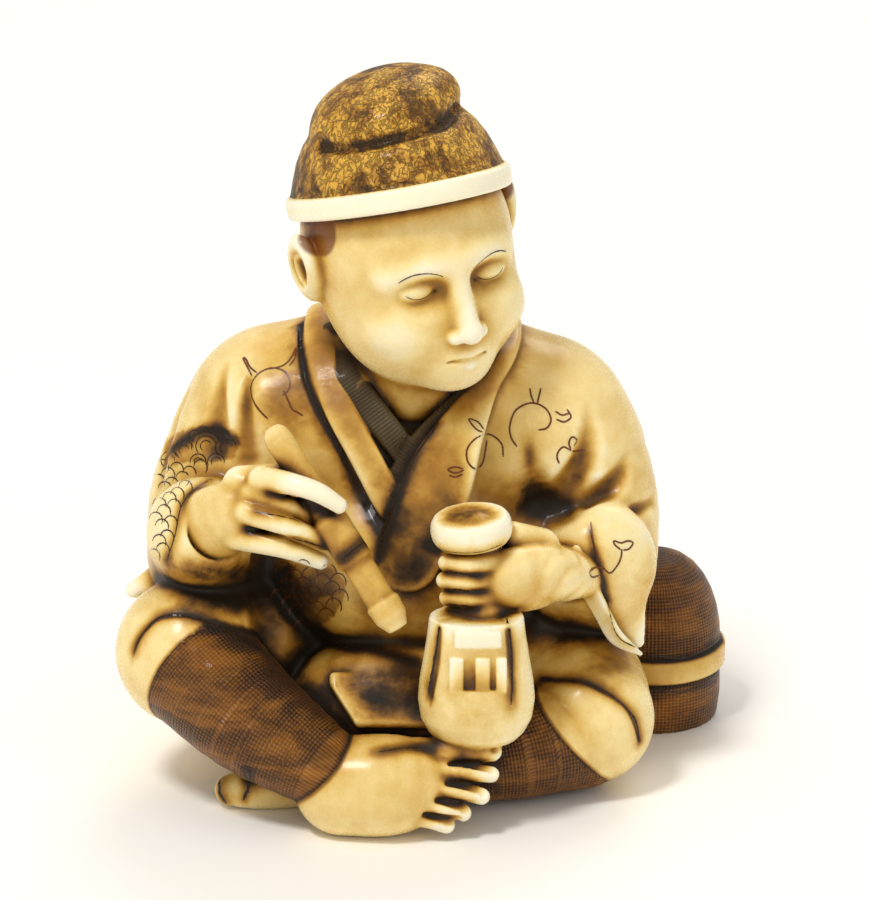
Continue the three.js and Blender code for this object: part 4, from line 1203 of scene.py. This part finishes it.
def ivory(plan):
    s = Shader("ivory_stained_and_shaded")
    where = s.place()
    blotch = s.noise(where, 0.2, 3, 0.55, 0.6)
    mottle = s.noise(where, 0.9, 4, 0.6, 0.3)
    speck = s.noise(where, 9.0, 3, 0.6)
    near, middle, far = (s.reading(name) for name in ("nearPit", "midPit", "farPit"))
    woven, onCap, hatched = (s.range(s.reading(name), -0.03, 0.03) for name in ("wovenEdge", "capEdge",
        "hatchEdge"))

    # How deep the stain lies, with painted shade: the recesses, the zone's own tint, where stain gathered and
    # where shade is painted, loosened by noise.
    depth = s.total(
        0.2, s.gain(near, 0.48, 1.3), s.gain(middle, 0.45, 0.9), s.gain(far, 0.4, 0.3),
        s.times(s.reading("ageing"), 0.25), s.gain(blotch, 0.5, 0.26), s.gain(mottle, 0.5, 0.25),
        s.times(s.reading("halo"), 0.42),
        s.range(s.math("ABSOLUTE", s.reading("wovenEdge")), 0.02, 0.2, 0.3, 0),
        s.times(s.reading("stainAndShade"), s.range(mottle, 0.3, 0.7, 0.46, 0.64)),
    )
    for name, amount in (("wavePatch", 0.22), ("lapScales", 0.16)):
        ragged = s.total(s.reading(name), s.gain(mottle, 0.5, 0.7))
        depth = s.total(depth, s.range(ragged, -0.08, 0.16, 0, amount))
    colour = s.ramp(depth, plan["stainAndShadeTones"])

    # Woven leggings and bundle: threads both ways.
    pitch, pitchRound = (2 * math.pi / size for size in plan["weavePitch"])
    wobble = s.gain(mottle, 0.5, 1.6)
    along = s.math("SINE", s.total(s.times(s.reading("patternAlong"), pitch), wobble))
    around = s.math("SINE", s.total(s.times(s.reading("patternAround"), pitchRound), wobble))
    both = s.total(s.times(along, 0.55), s.times(around, 0.45), 1.0)
    thread = s.times(both, 0.5)
    streak = s.noise(s.place(stretch=(0.5, 0.5, 1.6)), 0.55, 4, 0.6, 0.5)
    worn = s.total(s.range(thread, 0.3, 0.95, 0, 0.42), s.range(streak, 0.4, 0.7, 0.05, 0.55))
    worn = s.math("SUBTRACT", worn, s.range(depth, 0.3, 0.75, 0, 0.5))
    colour = s.mix(woven, colour, s.mix(worn, plan["threadDark"], plan["threadPale"]))

    # The cap's cloth, scratched all over with small curls.
    curl = s.noise(s.place(stretch=(1, 1, 0.7)), 3.4, 2, 0.5, 0.8)
    curls = s.range(s.math("ABSOLUTE", s.math("SUBTRACT", curl, 0.5)), 0.0, 0.09, 1, 0)
    patchy = s.noise(where, 0.7, 4, 0.65, 0.5)
    felt = s.math("SUBTRACT", s.range(patchy, 0.38, 0.62), s.range(depth, 0.28, 0.6, 0, 0.8))
    rubbed = s.mix(s.range(felt, 0.35, 1.0), plan["capMiddle"], plan["capPale"])
    felt = s.mix(s.range(felt, -0.3, 0.45), plan["capDark"], rubbed)
    felt = s.mix(s.times(curls, 0.6), felt, plan["capDark"])
    colour = s.mix(onCap, colour, felt)

    # The dark collar's hatching.
    hatch = s.math("SINE", s.times(s.reading("patternAlong"), pitch))
    shade = s.total(s.times(hatch, 0.12), s.range(mottle, 0.3, 0.75))
    shade = s.mix(shade, plan["collarDark"], plan["collarPale"])
    colour = s.mix(s.times(hatched, 0.92), colour, shade)

    # Painted shade: where the recesses run deepest the colour goes near black.
    colour = s.mix(s.range(depth, 0.7, 1.05, 0, 0.95), colour, plan["stainAndShadeTones"][-1][1])
    colour = s.mix(s.range(s.reading("hair"), -0.15, 0.1, 0, 0.85), colour, plan["line"])
    # The engraved lines, and the dark lines of painted shade in the gaps between fingers and toes.
    colour = s.mix(s.reading("inkAndShadeLines"), colour, s.mix(s.reading("inkAndShadeDarkness"), plan["line"], plan["darkLine"]))

    dull = s.math("MAXIMUM", s.times(woven, 0.4), s.math("MAXIMUM", onCap, hatched))
    rough = s.total(
        s.range(speck, 0.3, 0.7, -0.03, 0.05), s.range(depth, 0.35, 0.9, plan["gloss"], 0.6),
        s.times(dull, 0.22),
    )
    relief = s.times(woven, thread)
    relief = s.math("SUBTRACT", relief, s.times(onCap, s.times(curls, 0.8)))
    relief = s.total(relief, s.times(hatched, s.times(hatch, 0.12)))
    bump = s.node("Bump", {"Strength": 0.9, "Distance": plan["relief"], "Height": relief})
    finish = {"Base Color": colour, "Roughness": rough, "Normal": bump.outputs["Normal"], **plan["surface"]}
    for name, value in finish.items():
        s.put(s.surface.inputs[name], value)
    return s.material


mesh.materials.append(ivory(ivoryPlan))
print("material made")

# The stage: a pale floor, soft light and the camera.
stagePlan = {"floorSide": 4.0, "world": 0.6, "key": 0.95, "keySize": 0.09, "fill": 0.2, "back": 0.7}

side = stagePlan["floorSide"] / 2
floorMesh = bpy.data.meshes.new("floor")
floorMesh.from_pydata([(-side, -side, 0), (side, -side, 0), (side, side, 0), (-side, side, 0)], [],
    [(0, 1, 2, 3)])
floor = bpy.data.objects.new("floor", floorMesh)
bpy.context.collection.objects.link(floor)
paper = Shader("pale_paper")
paper.put(paper.surface.inputs["Base Color"], tone(250, 246, 239))
paper.put(paper.surface.inputs["Roughness"], 0.85)
floorMesh.materials.append(paper.material)

studio = bpy.data.worlds.new("studio")
studio.use_nodes = True
glow = studio.node_tree.nodes["Background"].inputs
glow["Color"].default_value = (1, 0.99, 0.97, 1)
glow["Strength"].default_value = stagePlan["world"]
bpy.context.scene.world = studio


def softbox(name, place, power, size):
    light = bpy.data.lights.new(name, "AREA")
    light.shape, light.size, light.energy = "DISK", size, power
    lamp = bpy.data.objects.new(name, light)
    lamp.location = place
    lamp.rotation_euler = (Vector((0, 0, 0.015)) - lamp.location).to_track_quat("-Z", "Y").to_euler()
    bpy.context.collection.objects.link(lamp)


softbox("key", (-0.14, -0.16, 0.4), stagePlan["key"], stagePlan["keySize"])
softbox("fill", (0.35, -0.3, 0.2), stagePlan["fill"], 0.3)
softbox("back", (0.1, 0.35, 0.4), stagePlan["back"], 0.3)

camera = bpy.data.objects.new("camera", bpy.data.cameras.new("camera"))
camera.data.sensor_fit = "VERTICAL"
camera.data.sensor_height = 36
camera.data.lens = 36 * viewPlan["distance"] / viewPlan["height"]
camera.data.clip_start = 0.01
camera.location = viewFrom * mm
camera.rotation_euler = Vector(viewAway).to_track_quat("-Z", "Y").to_euler()
bpy.context.collection.objects.link(camera)
bpy.context.scene.camera = camera
bpy.context.scene.view_settings.view_transform = "Standard"

print("staged")
